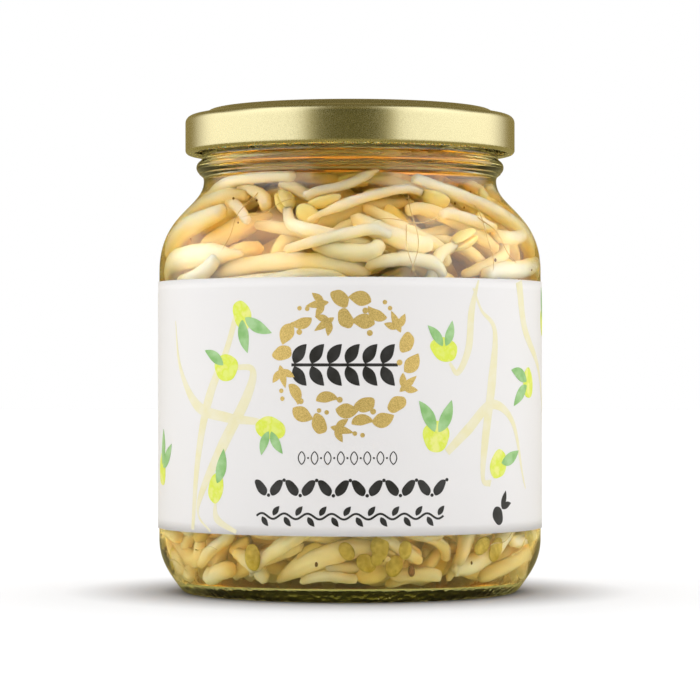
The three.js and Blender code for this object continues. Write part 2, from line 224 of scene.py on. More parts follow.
def heel_curve(inset, floor, count):
    """The rounded corner between the base and the straight body, moved in by a wall's thickness."""
    side = BODY_R - inset
    return bezier((35.9 - inset, 1.4 + floor), (37.4 - inset, 3.6 + floor), (side, 6.4 + 0.8 * floor),
                  (side, HEEL_Z + 0.4 * floor), count)


def shoulder_curve(inset, count):
    """The shoulder from the straight body to the neck, moved in by a wall's thickness."""
    side, neck = BODY_R - inset, NECK_R - inset
    return bezier((side, SHOULDER_Z), (side, SHOULDER_Z + 12.4 - 0.35 * inset),
                  (neck, NECK_Z - 5.7 - 0.35 * inset), (neck, NECK_Z), count)


def inner_wall():
    """Inside of the glass from the middle of the floor up to the neck."""
    r = np.linspace(0, 30, 24)
    rise = FLOOR_RING + (FLOOR_MIDDLE - FLOOR_RING) * np.cos(np.minimum(r / 29, 1) * math.pi / 2) ** 2
    return outline(np.stack([r, rise], axis=-1), heel_curve(WALL, FLOOR_RING - 1.4, 22),
                   np.stack([np.full(16, BODY_R - WALL), np.linspace(14, 66, 16)], axis=-1),
                   shoulder_curve(WALL, 44))


def full_turn(count):
    """Angles evenly round a whole turn, without the last, which is the first again."""
    return np.linspace(0, 2 * math.pi, count, endpoint=False)


def turned(points, segments, shift=None):
    """Closed skin of an outline of (radius, height) turned about the axis, on which it starts and ends.
    shift gives what is added to the radius, from the angle, the radius and the height."""
    a = full_turn(segments)
    r, z = points[1:-1, 0][:, None], points[1:-1, 1][:, None]
    if shift:
        r = r + shift(a, r, z)
    rings = np.stack([r * np.cos(a), r * np.sin(a), z + 0 * a], axis=-1)
    return skin(rings, (0, 0, points[0, 1]), (0, 0, points[-1, 1]))


# ---- glass ----
def thread_ridge(angle, z):
    """How far the thread stands out of the finish. Each of its four ridges is a round bead whose height
    grows with the angle past a lug, as the lid's lugs climb, and which fades at both ends."""
    section, rise, sweep, clear, root, proudest = 1.1, 1.6, math.radians(50), 0.35, 0.45, 1.5
    before, after, fade_out = math.radians(14), math.radians(34), 0.1
    stand = np.zeros(np.broadcast(angle, z).shape)
    for lug in LUG_ANGLES:
        past = (angle - lug + math.pi) % (2 * math.pi) - math.pi
        middle = LUG_TOP + clear + section + rise * past / sweep
        fade = np.clip((past + before) / fade_out, 0, 1) * np.clip((after - past) / fade_out, 0, 1)
        bead = np.sqrt(np.clip(section**2 - (z - middle) ** 2, 0, None))
        stand = np.maximum(stand, (bead + root * (bead > 0)) * fade)
    return np.minimum(stand, proudest)


def jar_shape():
    """The glass: an outline up the outside and down the inside, turned, with the thread's ridges added to
    the radius of the finish."""
    base_r = np.linspace(0, PUNT_R, 14)
    base = np.stack([base_r, PUNT_Z + 0.5 * (1 - (base_r / PUNT_R) ** 2)], axis=-1)
    finish = np.stack([np.full(34, FINISH_R), np.linspace(BEAD_Z + 2.2, FINISH_TOP - 0.9, 34)], axis=-1)
    outside = outline(
        base,
        bezier((PUNT_R, PUNT_Z), (29.4, 1.5), (30.0, 0.0), (RING_INNER, 0), 8),
        bezier((RING_INNER, 0), (32, 0), (33, 0), (RING_OUTER, 0), 5),
        bezier((RING_OUTER, 0), (34.9, 0), (35.3, 0.6), (35.9, 1.4), 8),
        heel_curve(0, 0, 22),
        np.stack([np.full(14, BODY_R), np.linspace(HEEL_Z, SHOULDER_Z, 14)], axis=-1),
        shoulder_curve(0, 44),
        bezier((NECK_R, NECK_Z), (NECK_R, NECK_Z + 0.9), (30.9, 86.4), (31.5, 86.95), 7),
        arc(FINISH_R + BEAD_PROUD - BEAD_SECTION, BEAD_Z, BEAD_SECTION, -62, 62, 15),
        bezier((31.3, 89.65), (31.0, 89.9), (FINISH_R, 90.1), (FINISH_R, 90.45), 5),
        finish,
        arc(FINISH_R - 0.9, FINISH_TOP - 0.9, 0.9, 0, 90, 8),
    )
    inside = outline(arc(MOUTH_R + 0.9, FINISH_TOP - 0.9, 0.9, 90, 180, 8), (MOUTH_R, 92), (MOUTH_R, 88.5),
                     inner_wall()[::-1])

    def thread(a, r, z):
        """The thread's ridges, on the straight part of the finish only."""
        return np.where((np.abs(r - FINISH_R) < 0.02) & (z > FINISH_LOW), thread_ridge(a, z), 0)

    return turned(outline(outside, inside), JAR_SEGMENTS, thread)


def brine_shape():
    """The liquid: out to just inside the glass, so that no air lies between, with a level top that climbs
    a little at the wall."""
    into_glass = 0.12
    wall = inner_wall()
    wall = np.concatenate([wall[wall[:, 1] < 86], [(MOUTH_R, 87), (MOUTH_R, 88.5), (MOUTH_R, 89.5)]])
    along = np.gradient(wall, axis=0)
    along /= np.linalg.norm(along, axis=1)[:, None]
    side = wall + into_glass * np.stack([along[:, 1], -along[:, 0]], axis=-1)
    side[0] = (0, FLOOR_MIDDLE - into_glass)
    edge = MOUTH_R + into_glass
    r = np.concatenate([np.linspace(edge, edge - 3, 12), np.linspace(edge - 5, 0, 12)])
    top = np.stack([r, BRINE_LEVEL + 0.8 * np.exp((r - edge) / 0.7)], axis=-1)
    return turned(outline(side, top), BRINE_SEGMENTS)


# ---- lid ----
def lid_shape():
    """The lid: one sheet of metal, turned. Its edge is rolled into a curl, and the curl is pressed inwards
    at each lug."""
    metal, curl, shoulder = 0.25, 0.85, 99.1
    inside = LID_R - metal
    panel, button = 99.35, 98.95

    def top_side(drop):
        """The top from the middle outwards, lowered by the metal's thickness for the inner side."""
        flat = np.linspace(0, 8.6, 8)
        return outline(
            np.stack([flat, np.full(8, button - drop)], axis=-1),
            bezier((8.6, button - drop), (9.6, button - drop),
                   (10.4, panel - drop), (11.5, panel - drop), 8),
            np.stack([np.linspace(12.5, 26, 8), np.full(8, panel - drop)], axis=-1),
            bezier((26.4, panel - drop), (27.4, panel - drop),
                   (27.3, LID_TOP - drop), (28.4, LID_TOP - drop), 10),
            bezier((28.4, LID_TOP - drop), (30.2, LID_TOP - drop), (29.9, shoulder - drop),
                   (31.4, shoulder - drop), 12),
        )

    corner = 1.5
    under = outline(
        top_side(metal),
        arc(inside - corner + metal, shoulder - metal - corner + metal, corner - metal, 90, 0, 9),
        np.stack([np.full(8, inside), np.linspace(97.2, LID_LOW + 2 * curl + 0.4, 8)], axis=-1),
    )
    roll = arc(LID_R - curl, LID_LOW + curl, curl, 110, 360, 22)
    over = outline(
        np.stack([np.full(10, LID_R), np.linspace(LID_LOW + curl + 0.3, shoulder - corner, 10)], axis=-1),
        arc(LID_R - corner, shoulder - corner, corner, 0, 90, 12),
        top_side(0)[::-1],
    )
    points = outline(under, roll, over)

    def lugs(a, r, z):
        """The curl pressed in at the lugs: all the way within a lug's half width, then quickly fading."""
        away = np.min(np.abs((a[None, :] - LUG_ANGLES[:, None] + math.pi) % (2 * math.pi) - math.pi), axis=0)
        lug = 1 / (1 + np.exp((away - LUG_HALF) / LUG_FADE))
        inward = np.clip((LID_R - curl - r) / curl, 0, 1) * (z < LUG_TOP + 0.1)
        return -LUG_REACH * lug * inward

    shape = turned(points, LID_SEGMENTS, lugs)
    hidden = (len(under) - 2) * LID_SEGMENTS
    quads = (len(points) - 3) * LID_SEGMENTS
    face_material = np.where(np.arange(face_count(shape[1])) < hidden, 1, 0)
    face_material[quads:quads + LID_SEGMENTS] = 1
    return shape, face_material


def liner_shape():
    """The sealing ring: a soft bead with a rounded section, turned."""
    inner, outer, low, high = 28.9, 32.2, 98.25, 98.75
    a, turn = full_turn(24), full_turn(RING_SEGMENTS)
    r = (inner + outer) / 2 + (outer - inner) / 2 * np.abs(np.cos(a)) ** 0.5 * np.sign(np.cos(a))
    z = (low + high) / 2 + (high - low) / 2 * np.abs(np.sin(a)) ** 0.5 * np.sign(np.sin(a))
    rings = np.stack([r[:, None] * np.cos(turn), r[:, None] * np.sin(turn), z[:, None] + 0 * turn], axis=-1)
    return hoop(rings)


# ---- label ----
PAPER = 0.12
LABEL_HALF = math.radians(171.5)


def on_label(x, z, lift=0.0):
    """Wraps flat label places onto the jar: x is the distance round the paper from its front middle."""
    a, z = np.broadcast_arrays(x / LABEL_R, z)
    radius = LABEL_R + lift
    return np.stack([radius * np.sin(a), -radius * np.cos(a), z], axis=-1)


def paper_shape():
    """The sheet of paper, with its outer face where the frame's label has its own."""
    x = np.linspace(-LABEL_HALF, LABEL_HALF, 240) * LABEL_R
    z = np.linspace(LABEL_LOW, LABEL_HIGH, 26)
    return sheet_of(on_label(x[None, :], z[:, None]))


# ---- printing on the label, laid out flat: x round the paper from its front middle, and height ----
INK, RIBBON, BEAN, LEAF = 0.03, 0.02, 0.04, 0.055


def blob(x, z, width, height, turn=0.0, lumps=0.0):
    """A filled oval: its rim is an ellipse with a few lumps, turned, in two rings round its middle."""
    sides = 36
    a = full_turn(sides)
    rim = 1 + lumps * np.sin(3 * a + turn) + 0.6 * lumps * np.sin(5 * a + 2 * turn)
    across, up = width / 2 * rim * np.cos(a), height / 2 * rim * np.sin(a)
    t = math.radians(turn)
    rim_x, rim_z = across * math.cos(t) - up * math.sin(t), across * math.sin(t) + up * math.cos(t)
    rings = np.stack([np.stack([x + k * rim_x, z + k * rim_z], axis=-1) for k in (0.5, 1.0)])
    points = np.concatenate([[[x, z]], rings.reshape(-1, 2)])
    n = np.arange(sides)
    after = (n + 1) % sides
    fan = np.stack([0 * n, 1 + n, 1 + after], axis=-1)
    rim_quads = np.stack([1 + n, 1 + sides + n, 1 + sides + after, 1 + after], axis=-1)
    return points, [fan, rim_quads]


def band(path, width):
    """A strip along a path with its own width at each point, four points across."""
    along = np.gradient(path, axis=0)
    along /= np.linalg.norm(along, axis=1)[:, None] + 1e-9
    left = np.stack([-along[:, 1], along[:, 0]], axis=-1)
    across = np.linspace(0.5, -0.5, 4)
    grid = path[:, None] + (width[:, None] * across)[..., None] * left[:, None]
    rows, cols = grid.shape[:2]
    row = np.arange(rows - 1)[:, None] * cols
    col = np.arange(cols - 1)
    quads = np.stack([row + col, row + cols + col, row + cols + col + 1, row + col + 1], axis=-1)
    return grid.reshape(-1, 2), [quads.reshape(-1, 4)[:, ::-1]]


def leaf(x, z, turn, long, wide, bend=0.0):
    """A pointed leaf from its stalk end at (x, z): a strip whose width swells and closes, a little bent."""
    t = np.linspace(0.0, 1.0, 18)
    heading = np.radians(turn + bend * (t - 0.5))
    step = long / (len(t) - 1)
    path = np.stack([x + step * np.cumsum(np.cos(heading)), z + step * np.cumsum(np.sin(heading))], axis=-1)
    width = wide * (0.02 + 0.98 * np.sin(math.pi * t**0.85) ** 0.9)
    return band(path, width)


def stroke(x0, z0, x1, z1, width):
    """A straight stroke, with a point at every millimetre or so."""
    count = 3 + int(math.hypot(x1 - x0, z1 - z0))
    t = np.linspace(0, 1, count)[:, None]
    path = (1 - t) * np.array([x0, z0]) + t * np.array([x1, z1])
    return band(path, np.full(count, width))


def ribbon(corners, widths):
    """A painted ribbon: a smooth path through corners, with its width going from one to the next."""
    path = through(np.array(corners, dtype=float), 70)
    return band(path, np.interp(np.linspace(0, 1, 70), np.linspace(0, 1, len(widths)), widths))


def printed(name, shapes, lift, material):
    """A layer of printing wrapped onto the paper, as thin solid shapes."""
    points, faces = joined(shapes)
    wrapped = on_label(points[:, 0], points[:, 1], lift)
    made = piece(name, (wrapped, faces), "jar", [material])
    made.data.polygons.foreach_set("use_smooth", np.zeros(face_count(faces), dtype=bool))
    return thickened(made, 0.9 * lift)


EMBLEM_X, EMBLEM_Z = -0.9, 47.3
EMBLEM_OPEN = 4.9
# Radius of each ring of the emblem and how many charms it holds.
EMBLEM_RINGS = [(12.9, 19), (8.9, 14)]
CHARM = 1.3


def charm(kind, x, z, turn):
    """One small motif of the emblem: a leaf with a berry, a bean, a sprig or a pod with two seeds."""
    t, k = math.radians(turn), CHARM
    ahead, aside = k * np.array([math.cos(t), math.sin(t)]), k * np.array([-math.sin(t), math.cos(t)])
    middle = np.array([x, z])
    tail = middle - 1.7 * ahead
    if kind == 0:
        berry = middle + 1.4 * aside - 0.9 * ahead
        return [leaf(*tail, turn, 3.6 * k, 2.3 * k, 30), blob(*berry, 0.9 * k, 0.9 * k)]
    if kind == 1:
        return [blob(x, z, 3.2 * k, 2.2 * k, turn, 0.05)]
    if kind == 2:
        side_leaves = [leaf(*(tail + 0.9 * ahead), turn + way, 2.3 * k, 1.1 * k) for way in (48, -48)]
        return [leaf(*tail, turn, 3.6 * k, 1.2 * k), *side_leaves]
    seeds = [blob(*(tail + far * ahead - 1.1 * aside), 0.7 * k, 0.7 * k) for far in (0.9, 2.1)]
    return [leaf(*tail, turn + 20, 3.6 * k, 1.7 * k, -70), *seeds]


def emblem():
    """A round field of small foil motifs in two rings, open across its middle."""
    run, shapes = Run(77), []
    for ring_number, (radius, count) in enumerate(EMBLEM_RINGS):
        for n in range(count):
            a = 2 * math.pi * (n + 0.5 * ring_number) / count
            x, z = EMBLEM_X + radius * math.cos(a), EMBLEM_Z + radius * math.sin(a)
            turn = math.degrees(a) + run.between(25, 120)
            if abs(z - EMBLEM_Z) > EMBLEM_OPEN + 1.2 or ring_number == 0:
                shapes += charm((n + 2 * ring_number) % 4, x, z, turn)
    return shapes


def open_leaf(x, z, turn, long, wide, line):
    """The outline of a small pointed leaf with its middle at (x, z)."""
    a = np.linspace(0, 2 * math.pi, 49)
    along, across = long / 2 * np.cos(a), wide / 2 * np.sin(a) * np.abs(np.sin(a)) ** 0.6
    t = math.radians(turn)
    path = np.stack([x + along * math.cos(t) - across * math.sin(t),
                     z + along * math.sin(t) + across * math.cos(t)], axis=-1)
    return band(path, np.full(49, line))


OPEN_ROW_Z, BEAN_ROW_Z, VINE_Z = 28.8, 22.9, 17.3


def ornament():
    """Black ornament: a leafy branch across the emblem, three rows below it, and a bean to the right."""
    shapes = []
    middle = EMBLEM_Z - 0.2
    for n in range(6):
        x = EMBLEM_X + (n - 2.5) * 3.5
        for turn, bend in ((58, -30), (-58, 30)):
            shapes.append(leaf(x - 1.5, middle, turn, 4.6, 2.4, bend))
    shapes.append(stroke(EMBLEM_X - 10.8, middle, EMBLEM_X + 10.4, middle, 0.6))
    for n in range(8):
        x = -9.6 + 2.6 * n
        shapes.append(open_leaf(x, OPEN_ROW_Z, 90, 2.5, 1.35, 0.2))
        if n < 7:
            shapes.append(blob(x + 1.3, OPEN_ROW_Z, 0.4, 0.4))
    for n in range(12):
        x = -18.2 + 3.32 * n
        side = 1 if n % 2 else -1
        shapes.append(blob(x, BEAN_ROW_Z, 3.7, 1.9, 52 * side, 0.04))
        shapes.append(blob(x + 1.66, BEAN_ROW_Z + 1.5 * side, 0.7, 0.7))
    t = np.linspace(-19.2, 19.2, 120)
    vine = np.stack([t, VINE_Z + 0.55 * np.sin(t * math.pi / 2.4)], axis=-1)
    shapes.append(band(vine, np.full(120, 0.42)))
    for n in range(16):
        side = 1 if n % 2 else -1
        shapes.append(leaf(-18.0 + 2.4 * n, VINE_Z, 55 * side, 2.3, 1.15, -20 * side))
    shapes.append(blob(33.4, 16.9, 3.0, 3.9, 25, 0.03))
    shapes.append(leaf(34.4, 18.4, 66, 3.6, 1.5, 20))
    shapes.append(leaf(34.4, 18.2, 18, 3.4, 1.4, -20))
    return shapes


# Middle, size and turn of each bean, and the turns of its leaves.
BEANS = [
    (-22.6, 57.0, 3.7, 5.4, 20, (-28, -80)),
    (-26.6, 46.6, 5.4, 4.8, 0, (150,)),
    (-16.2, 34.6, 5.9, 4.0, -10, (-110, -62)),
    (-29.3, 22.6, 3.6, 5.7, -15, (75,)),
    (-52.0, 25.6, 4.6, 6.0, 10, (82, 40)),
    (19.4, 50.2, 5.6, 4.2, -20, (128, 72)),
    (17.6, 33.0, 5.2, 5.6, 0, (118, 64)),
    (33.6, 27.2, 4.4, 5.4, -30, (20,)),
    (45.4, 43.4, 4.6, 5.6, 10, (160, 215)),
    (58.0, 56.0, 4.2, 5.2, 40, (100, 40)),
    (-66.0, 50.0, 5.2, 4.4, 0, (60, 120)),
    (-84.0, 30.0, 4.4, 5.4, 20, (75,)),
    (72.0, 24.0, 5.4, 4.6, -15, (110, 60)),
    (90.0, 47.0, 4.4, 5.6, 0, (150, 95)),
    (-100.0, 52.0, 5.0, 4.6, 30, (-20, 30)),
    (108.0, 28.0, 4.6, 5.2, 0, (70,)),
]
RIBBONS = [
    ([(-23.5, 58.5), (-26.5, 50), (-31.5, 40), (-34.8, 28), (-36.5, 14)], (1.2, 1.4, 2.3, 1.7, 1.0)),
    ([(-43.5, 56), (-41.5, 47), (-35, 39), (-26, 36.6), (-17.5, 35.4), (-14.4, 31)],
     (0.3, 1.0, 2.3, 2.0, 1.2, 0.7)),
    ([(-25.5, 46.5), (-20.2, 46.2), (-21.6, 40.5), (-27.5, 31), (-33.5, 21.5), (-34.6, 17), (-30.8, 13.8)],
     (1.0, 1.3, 2.2, 2.6, 1.6, 0.5, 0.4)),
    ([(-29.5, 20), (-29, 16.4), (-24, 13.9)], (0.5, 1.6, 0.8)),
    ([(27.8, 64), (26.0, 58), (25.2, 50.5), (22.6, 45.6), (20.6, 47.5)], (0.4, 1.6, 1.7, 1.2, 0.6)),
    ([(26.4, 62.4), (28.6, 58), (32.4, 54), (31.6, 44), (29.6, 32), (29.0, 24.4), (31.2, 23.4)],
     (0.4, 0.6, 1.2, 2.4, 2.0, 1.0, 1.4)),
    ([(20.0, 29.8), (25.0, 34.2), (31.5, 39.2), (38.5, 35.5), (42.5, 25), (44, 22)],
     (1.5, 2.2, 2.0, 1.3, 0.6, 0.4)),
    ([(41, 64), (44, 54), (53, 46), (62, 34)], (2.6, 2.3, 1.6, 0.5)),
    ([(-60, 62), (-66, 48), (-76, 40), (-84, 32), (-82, 18)], (0.6, 2.0, 2.4, 1.4, 0.5)),
    ([(60, 60), (70, 50), (74, 36), (72, 26)], (0.5, 2.0, 2.4, 1.0)),
    ([(84, 60), (92, 50), (100, 40), (108, 30), (106, 17)], (0.6, 1.6, 2.5, 1.6, 0.5)),
    ([(-96, 60), (-102, 48), (-100, 34), (-108, 18)], (0.5, 2.0, 2.4, 0.6)),
]


def painted_beans():
    """The beans' ovals, and their leaves apart."""
    ovals, leaves = [], []
    for x, z, width, height, turn, ways in BEANS:
        ovals.append(blob(x, z, 1.12 * width, 1.12 * height, turn, 0.035))
        for way in ways:
            reach, t = 0.1 * height, math.radians(way)
            leaves.append(leaf(x + reach * math.cos(t), z + reach * math.sin(t),
                               way, 1.25 * height, 0.46 * height, 22))
    return ovals, leaves


# ---- where the sprouts lie ----
# The rule that the frame's sprouts follow: a stem follows the inside of the glass, and each sprout is
# moved inwards until it is clear of those laid before it.
STATIONS = 9
GLASS_GAP = 0.45
BETWEEN = 0.4
HOOK_SHARE = 0.2
HEAD_LONG, HEAD_WIDE, HEAD_THICK, HEAD_APART, HEAD_SUNK, HEAD_BOUND = 3.3, 2.0, 1.2, 1.0, 0.7, 2.35
LEAF_INSET = 0.45
STEP_IN = 0.5
DEEPEST = 9
CORE_R, CORE_SHOULDER, CORE_TOP_R, CORE_TOP = 24, 68, 13, 83.5
SHARE = np.arange(STATIONS) / (STATIONS - 1)

WALL_CURVE = np.concatenate([[(31, FLOOR_RING)], heel_curve(WALL, FLOOR_RING - 1.4, 25),
                             shoulder_curve(WALL, 49)])


def facing(az):
    """The way outwards from the axis at an azimuth in radians, and the way to the right of it."""
    return (np.array([math.sin(az), -math.cos(az), 0]), np.array([math.cos(az), math.sin(az), 0]))


def wall_radius(z):
    """Inside radius of the glass at a height."""
    return np.interp(z, WALL_CURVE[:, 1], WALL_CURVE[:, 0], right=MOUTH_R)


def clear_radius(z, reach):
    """Greatest radius at which a ball of this reach, centred at this height, stays inside the glass."""
    around = np.radians([-70, -35, 0, 35, 70])[:, None]
    return np.min(wall_radius(z + reach * np.sin(around)) - reach * np.cos(around), axis=0)


def smooth(x, low, high):
    """A step from 0 to 1 between low and high, level at both ends."""
    t = np.clip((x - low) / (high - low), 0, 1)
    return t * t * (3 - 2 * t)


def stem_radius(share, thick):
    """A thin root that swells into the stem, then thins towards the hook."""
    return thick * (0.3 + 0.7 * smooth(share, 0, 0.28)) * (1 - 0.3 * smooth(share, 0.8, 1))


def snapped_radius(share, thick):
    """A length of stem that has lost its root and head: nearly even, with slightly narrower ends."""
    return thick * (0.72 + 0.28 * smooth(share, 0, 0.2)) * (1 - 0.22 * smooth(share, 0.8, 1))


def stem_line(az, z, tilt, length, bend, hook, thick, head=HEAD_BOUND, outline_radius=stem_radius):
    """Azimuth, height, radius and bounding radius of each station. The heading turns by bend over the
    whole stem and by hook over its last fifth, and the stem is followed outwards from its middle."""
    step = length / (STATIONS - 1)
    past = np.maximum(0, (SHARE - (1 - HOOK_SHARE)) / HOOK_SHARE)
    heading = np.radians(tilt + bend * (SHARE - 0.5) + hook * past)
    turn = (heading[:-1] + heading[1:]) / 2
    middle = (STATIONS - 1) // 2
    climb = np.concatenate([[0], np.cumsum(step * np.sin(turn))])
    height = z + climb - climb[middle]
    nearer = np.where(np.arange(STATIONS - 1) >= middle, height[:-1], height[1:])
    round_it = np.concatenate([[0], np.cumsum(step * np.cos(turn) / wall_radius(nearer))])
    azimuth = math.radians(az) + round_it - round_it[middle]
    radius = outline_radius(SHARE, thick)
    bound = radius + (head - radius) * smooth(SHARE, 0.72, 1)
    return azimuth, height, radius, bound


def placed(line, depth, dive):
    """A line of stations at a depth from the glass, as points, with the balls that bound it and its head."""
    azimuth, height, radius, bound = line
    out = clear_radius(height, bound + GLASS_GAP) - depth - dive * (1 - SHARE) ** 1.5
    points = np.stack([out * np.sin(azimuth), -out * np.cos(azimuth), height], axis=-1)
    ahead = points[-1] - points[-2]
    ahead /= np.linalg.norm(ahead)
    head = points[-1] + np.array([0.8, 2.6, 4.3])[:, None] * ahead
    balls = np.concatenate([points, head])
    bounds = np.concatenate([bound, np.full(3, HEAD_BOUND)])
    return {"points": points, "radius": radius, "ahead": ahead, "balls": balls, "bounds": bounds}


def core_radius(z):
    """Radius of the middle that sprouts leave free, at a height."""
    return np.interp(z, [CORE_SHOULDER, CORE_TOP], [CORE_R, CORE_TOP_R])


def fits(spot, others):
    """True where every ball is clear of the glass, the core, the floor and the other sprouts."""
    balls, bounds = spot["balls"], spot["bounds"]
    r = np.hypot(balls[:, 0], balls[:, 1])
    z = balls[:, 2]
    inside = (r < clear_radius(z, bounds + GLASS_GAP * 0.8)) & (r - bounds - BETWEEN > core_radius(z))
    inside &= (z - bounds > FLOOR_RING + 0.8) & (z + bounds < CORE_TOP + 1)
    if not inside.all():
        return False
    if not others:
        return True
    their = np.concatenate([o["balls"] for o in others])
    wide = np.concatenate([o["bounds"] for o in others])
    apart = np.linalg.norm(balls[:, None] - their[None], axis=-1)
    return bool((apart > bounds[:, None] + wide[None] + BETWEEN).all())


def laid(sprout, others):
    """Lays one sprout, as near the glass as it can lie, or gives None."""
    az, z, tilt, length, bend, hook, thick, dive, roll = sprout
    line = stem_line(az, z, tilt, length, bend, hook, thick)
    for depth in np.arange(0, DEEPEST + STEP_IN / 2, STEP_IN):
        spot = placed(line, depth, dive)
        if fits(spot, others):
            return {**spot, "roll": roll, "length": length}
    return None


# Azimuth, height, tilt, length, bend, hook, thickness, dive and roll of the sprouts seen in front.
FRONT = [
    (-28, 80, -18, 26, -10, 110, 1.4, 1, 60),
    (-6, 72.5, 168, 26, 10, -60, 1.3, 4, 80),
    (24, 55.5, 76, 38, 10, -85, 1.3, 0, 90),
    (8, 80, 16, 26, -20, -40, 1.2, 0, 20),
    (52, 74, 158, 42, 30, -120, 2.4, 1, 80),
    (-4, 75.6, 192, 40, 14, 55, 1.8, 1, 85),
    (4, 72, 200, 42, 34, 20, 2.0, 0, 0),
    (13, 68.4, 199, 44, 12, 20, 2.2, 0, 0),
    (14, 63, 204, 40, 8, 20, 2.2, 0, 40),
    (-66, 69, 183, 38, 10, 60, 2.3, 0, 10),
    (-60, 73, 194, 32, 10, 40, 2.0, 0, 30),
    (-58, 78, 18, 30, 0, -50, 1.3, 0, 45),
    (-30, 63.6, 4, 40, 10, -40, 1.7, 0, 10),
    (-33, 77, -55, 24, 0, -30, 1.1, 0, 10),
    (64, 68, -12, 40, 30, 50, 1.8, 0, 20),
    (74, 74.5, -26, 40, -20, -40, 1.8, 0, 20),
    (20, 11.5, 8, 26, -10, -95, 1.7, 1, 70),
    (-12, 15, 28, 34, -20, -60, 1.7, 0, 20),
    (-46, 13, 52, 36, 30, 50, 2.1, 0, 30),
    (44, 22, 84, 36, 50, 60, 1.9, 0, 50),
    (58, 22, 96, 38, -30, 50, 1.9, 0, 50),
    (-62, 10, 168, 38, 20, 50, 1.9, 0, 15),
]
SPROUTS = 36
BANDS = [(66, 80), (7, 16), (24, 58)]


def scattered(run, n):
    """A sprout somewhere round the sides or the back."""
    low, high = BANDS[n % len(BANDS)]
    side = 0 if run.random() < 0.5 else 180
    az, z = run.between(60, 300), run.between(low, high)
    tilt = side + run.between(-35, 60)
    length, bend = run.between(30, 46), run.between(-50, 50)
    hook = run.between(-110, -50) if run.between(-1, 1) < 0 else run.between(50, 110)
    return az, z, tilt, length, bend, hook, run.between(1.4, 2.0), run.between(0, 3), run.between(0, 90)


def lay_all():
    """Every sprout that has a node of its own, in the order of the nodes."""
    done = []
    for sprout in FRONT:
        spot = laid(sprout, done)
        if spot:
            done.append(spot)
    run = Run(20250)
    for n in range(600):
        if len(done) >= SPROUTS:
            break
        spot = laid(scattered(run, n), done)
        if spot:
            done.append(spot)
    return done


# ---- the sprouts behind and between ----
FILL_DEPTHS = np.arange(0, 21, 0.9)
SQUASH = 0.9
FILL_GAP = 0.2
FILL_TOP = 88.5
OFF_AXIS = 2.0
LEAF_REACH, LEAF_BALL, LEAF_SQUASH = 2.0, 1.6, 0.5


def crowd_in(line, dive, headed, others):
    """Lays one more sprout at the least depth at which it is clear of the others, but for a little
    squashing, or gives None. All depths are tried at once."""
    azimuth, height, radius, bound = line
    out = clear_radius(height, bound + FILL_GAP) - FILL_DEPTHS[:, None] - dive * (1 - SHARE) ** 1.5
    points = np.stack([out * np.sin(azimuth), -out * np.cos(azimuth), height + 0 * out], axis=-1)
    ahead = points[:, -1] - points[:, -2]
    ahead /= np.linalg.norm(ahead, axis=1)[:, None]
    between = (points[:, 1:] + points[:, :-1]) / 2
    head = points[:, -1:] + np.array([0.8, 2.6, 4.3])[:, None] * ahead[:, None]
    balls = np.concatenate([points, between, head] if headed else [points, between], axis=1)
    wide = np.concatenate([bound, (bound[1:] + bound[:-1]) / 2, np.full(3 if headed else 0, HEAD_BOUND)])
    r = np.hypot(balls[..., 0], balls[..., 1])
    z = balls[..., 2]
    flat = clear_radius(z.ravel(), np.broadcast_to(wide, z.shape).ravel() + FILL_GAP * 0.5).reshape(z.shape)
    inside = (r < flat + 0.05) & (r > OFF_AXIS)
    clear = (inside & (z - wide > FLOOR_RING + 0.1) & (z + wide < FILL_TOP)).all(axis=1)
    if not clear.any():
        return None
    their, theirs = others
    low, high = balls.min(axis=(0, 1)) - 5, balls.max(axis=(0, 1)) + 5
    near = ((their > low) & (their < high)).all(axis=1)
    their, theirs = their[near], theirs[near]
    flat_balls = balls.reshape(-1, 3)
    apart = (flat_balls**2).sum(axis=1)[:, None] + (their**2).sum(axis=1) - 2 * flat_balls @ their.T
    least = np.tile(wide, len(balls))[:, None] + theirs - SQUASH
    clear &= (apart > least**2).all(axis=1).reshape(len(balls), -1).all(axis=1)
    if not clear.any():
        return None
    n = int(np.argmax(clear))
    return {"points": points[n], "radius": radius, "ahead": ahead[n], "balls": balls[n], "bounds": wide}


def crowd(done, seed, tries, z_range, thick_range, length_range, head_share):
    """Fills a band of heights with more sprouts, some with heads and some snapped off."""
    run = Run(seed)
    others = (np.concatenate([d["balls"] for d in done]), np.concatenate([d["bounds"] for d in done]))
    more = []
    for n in range(tries):
        side = 0 if run.random() < 0.5 else 180
        az, z = run.between(-180, 180), run.between(*z_range)
        tilt, length = side + run.between(-38, 45), run.between(*length_range)
        bend, hook = run.between(-45, 45), run.between(-70, 70)
        thick, dive, roll = run.between(*thick_range), run.between(0, 2), run.between(0, 90)
        headed = run.random() < head_share
        bound, shape = (HEAD_BOUND, stem_radius) if headed else (0.8 * thick, snapped_radius)
        line = stem_line(az, z, tilt, length, bend, hook, thick, bound, shape)
        spot = crowd_in(line, dive, headed, others)
        if spot:
            more.append({**spot, "roll": roll, "length": length, "headed": headed})
            others = (np.concatenate([others[0], spot["balls"]]),
                      np.concatenate([others[1], spot["bounds"]]))
    return more


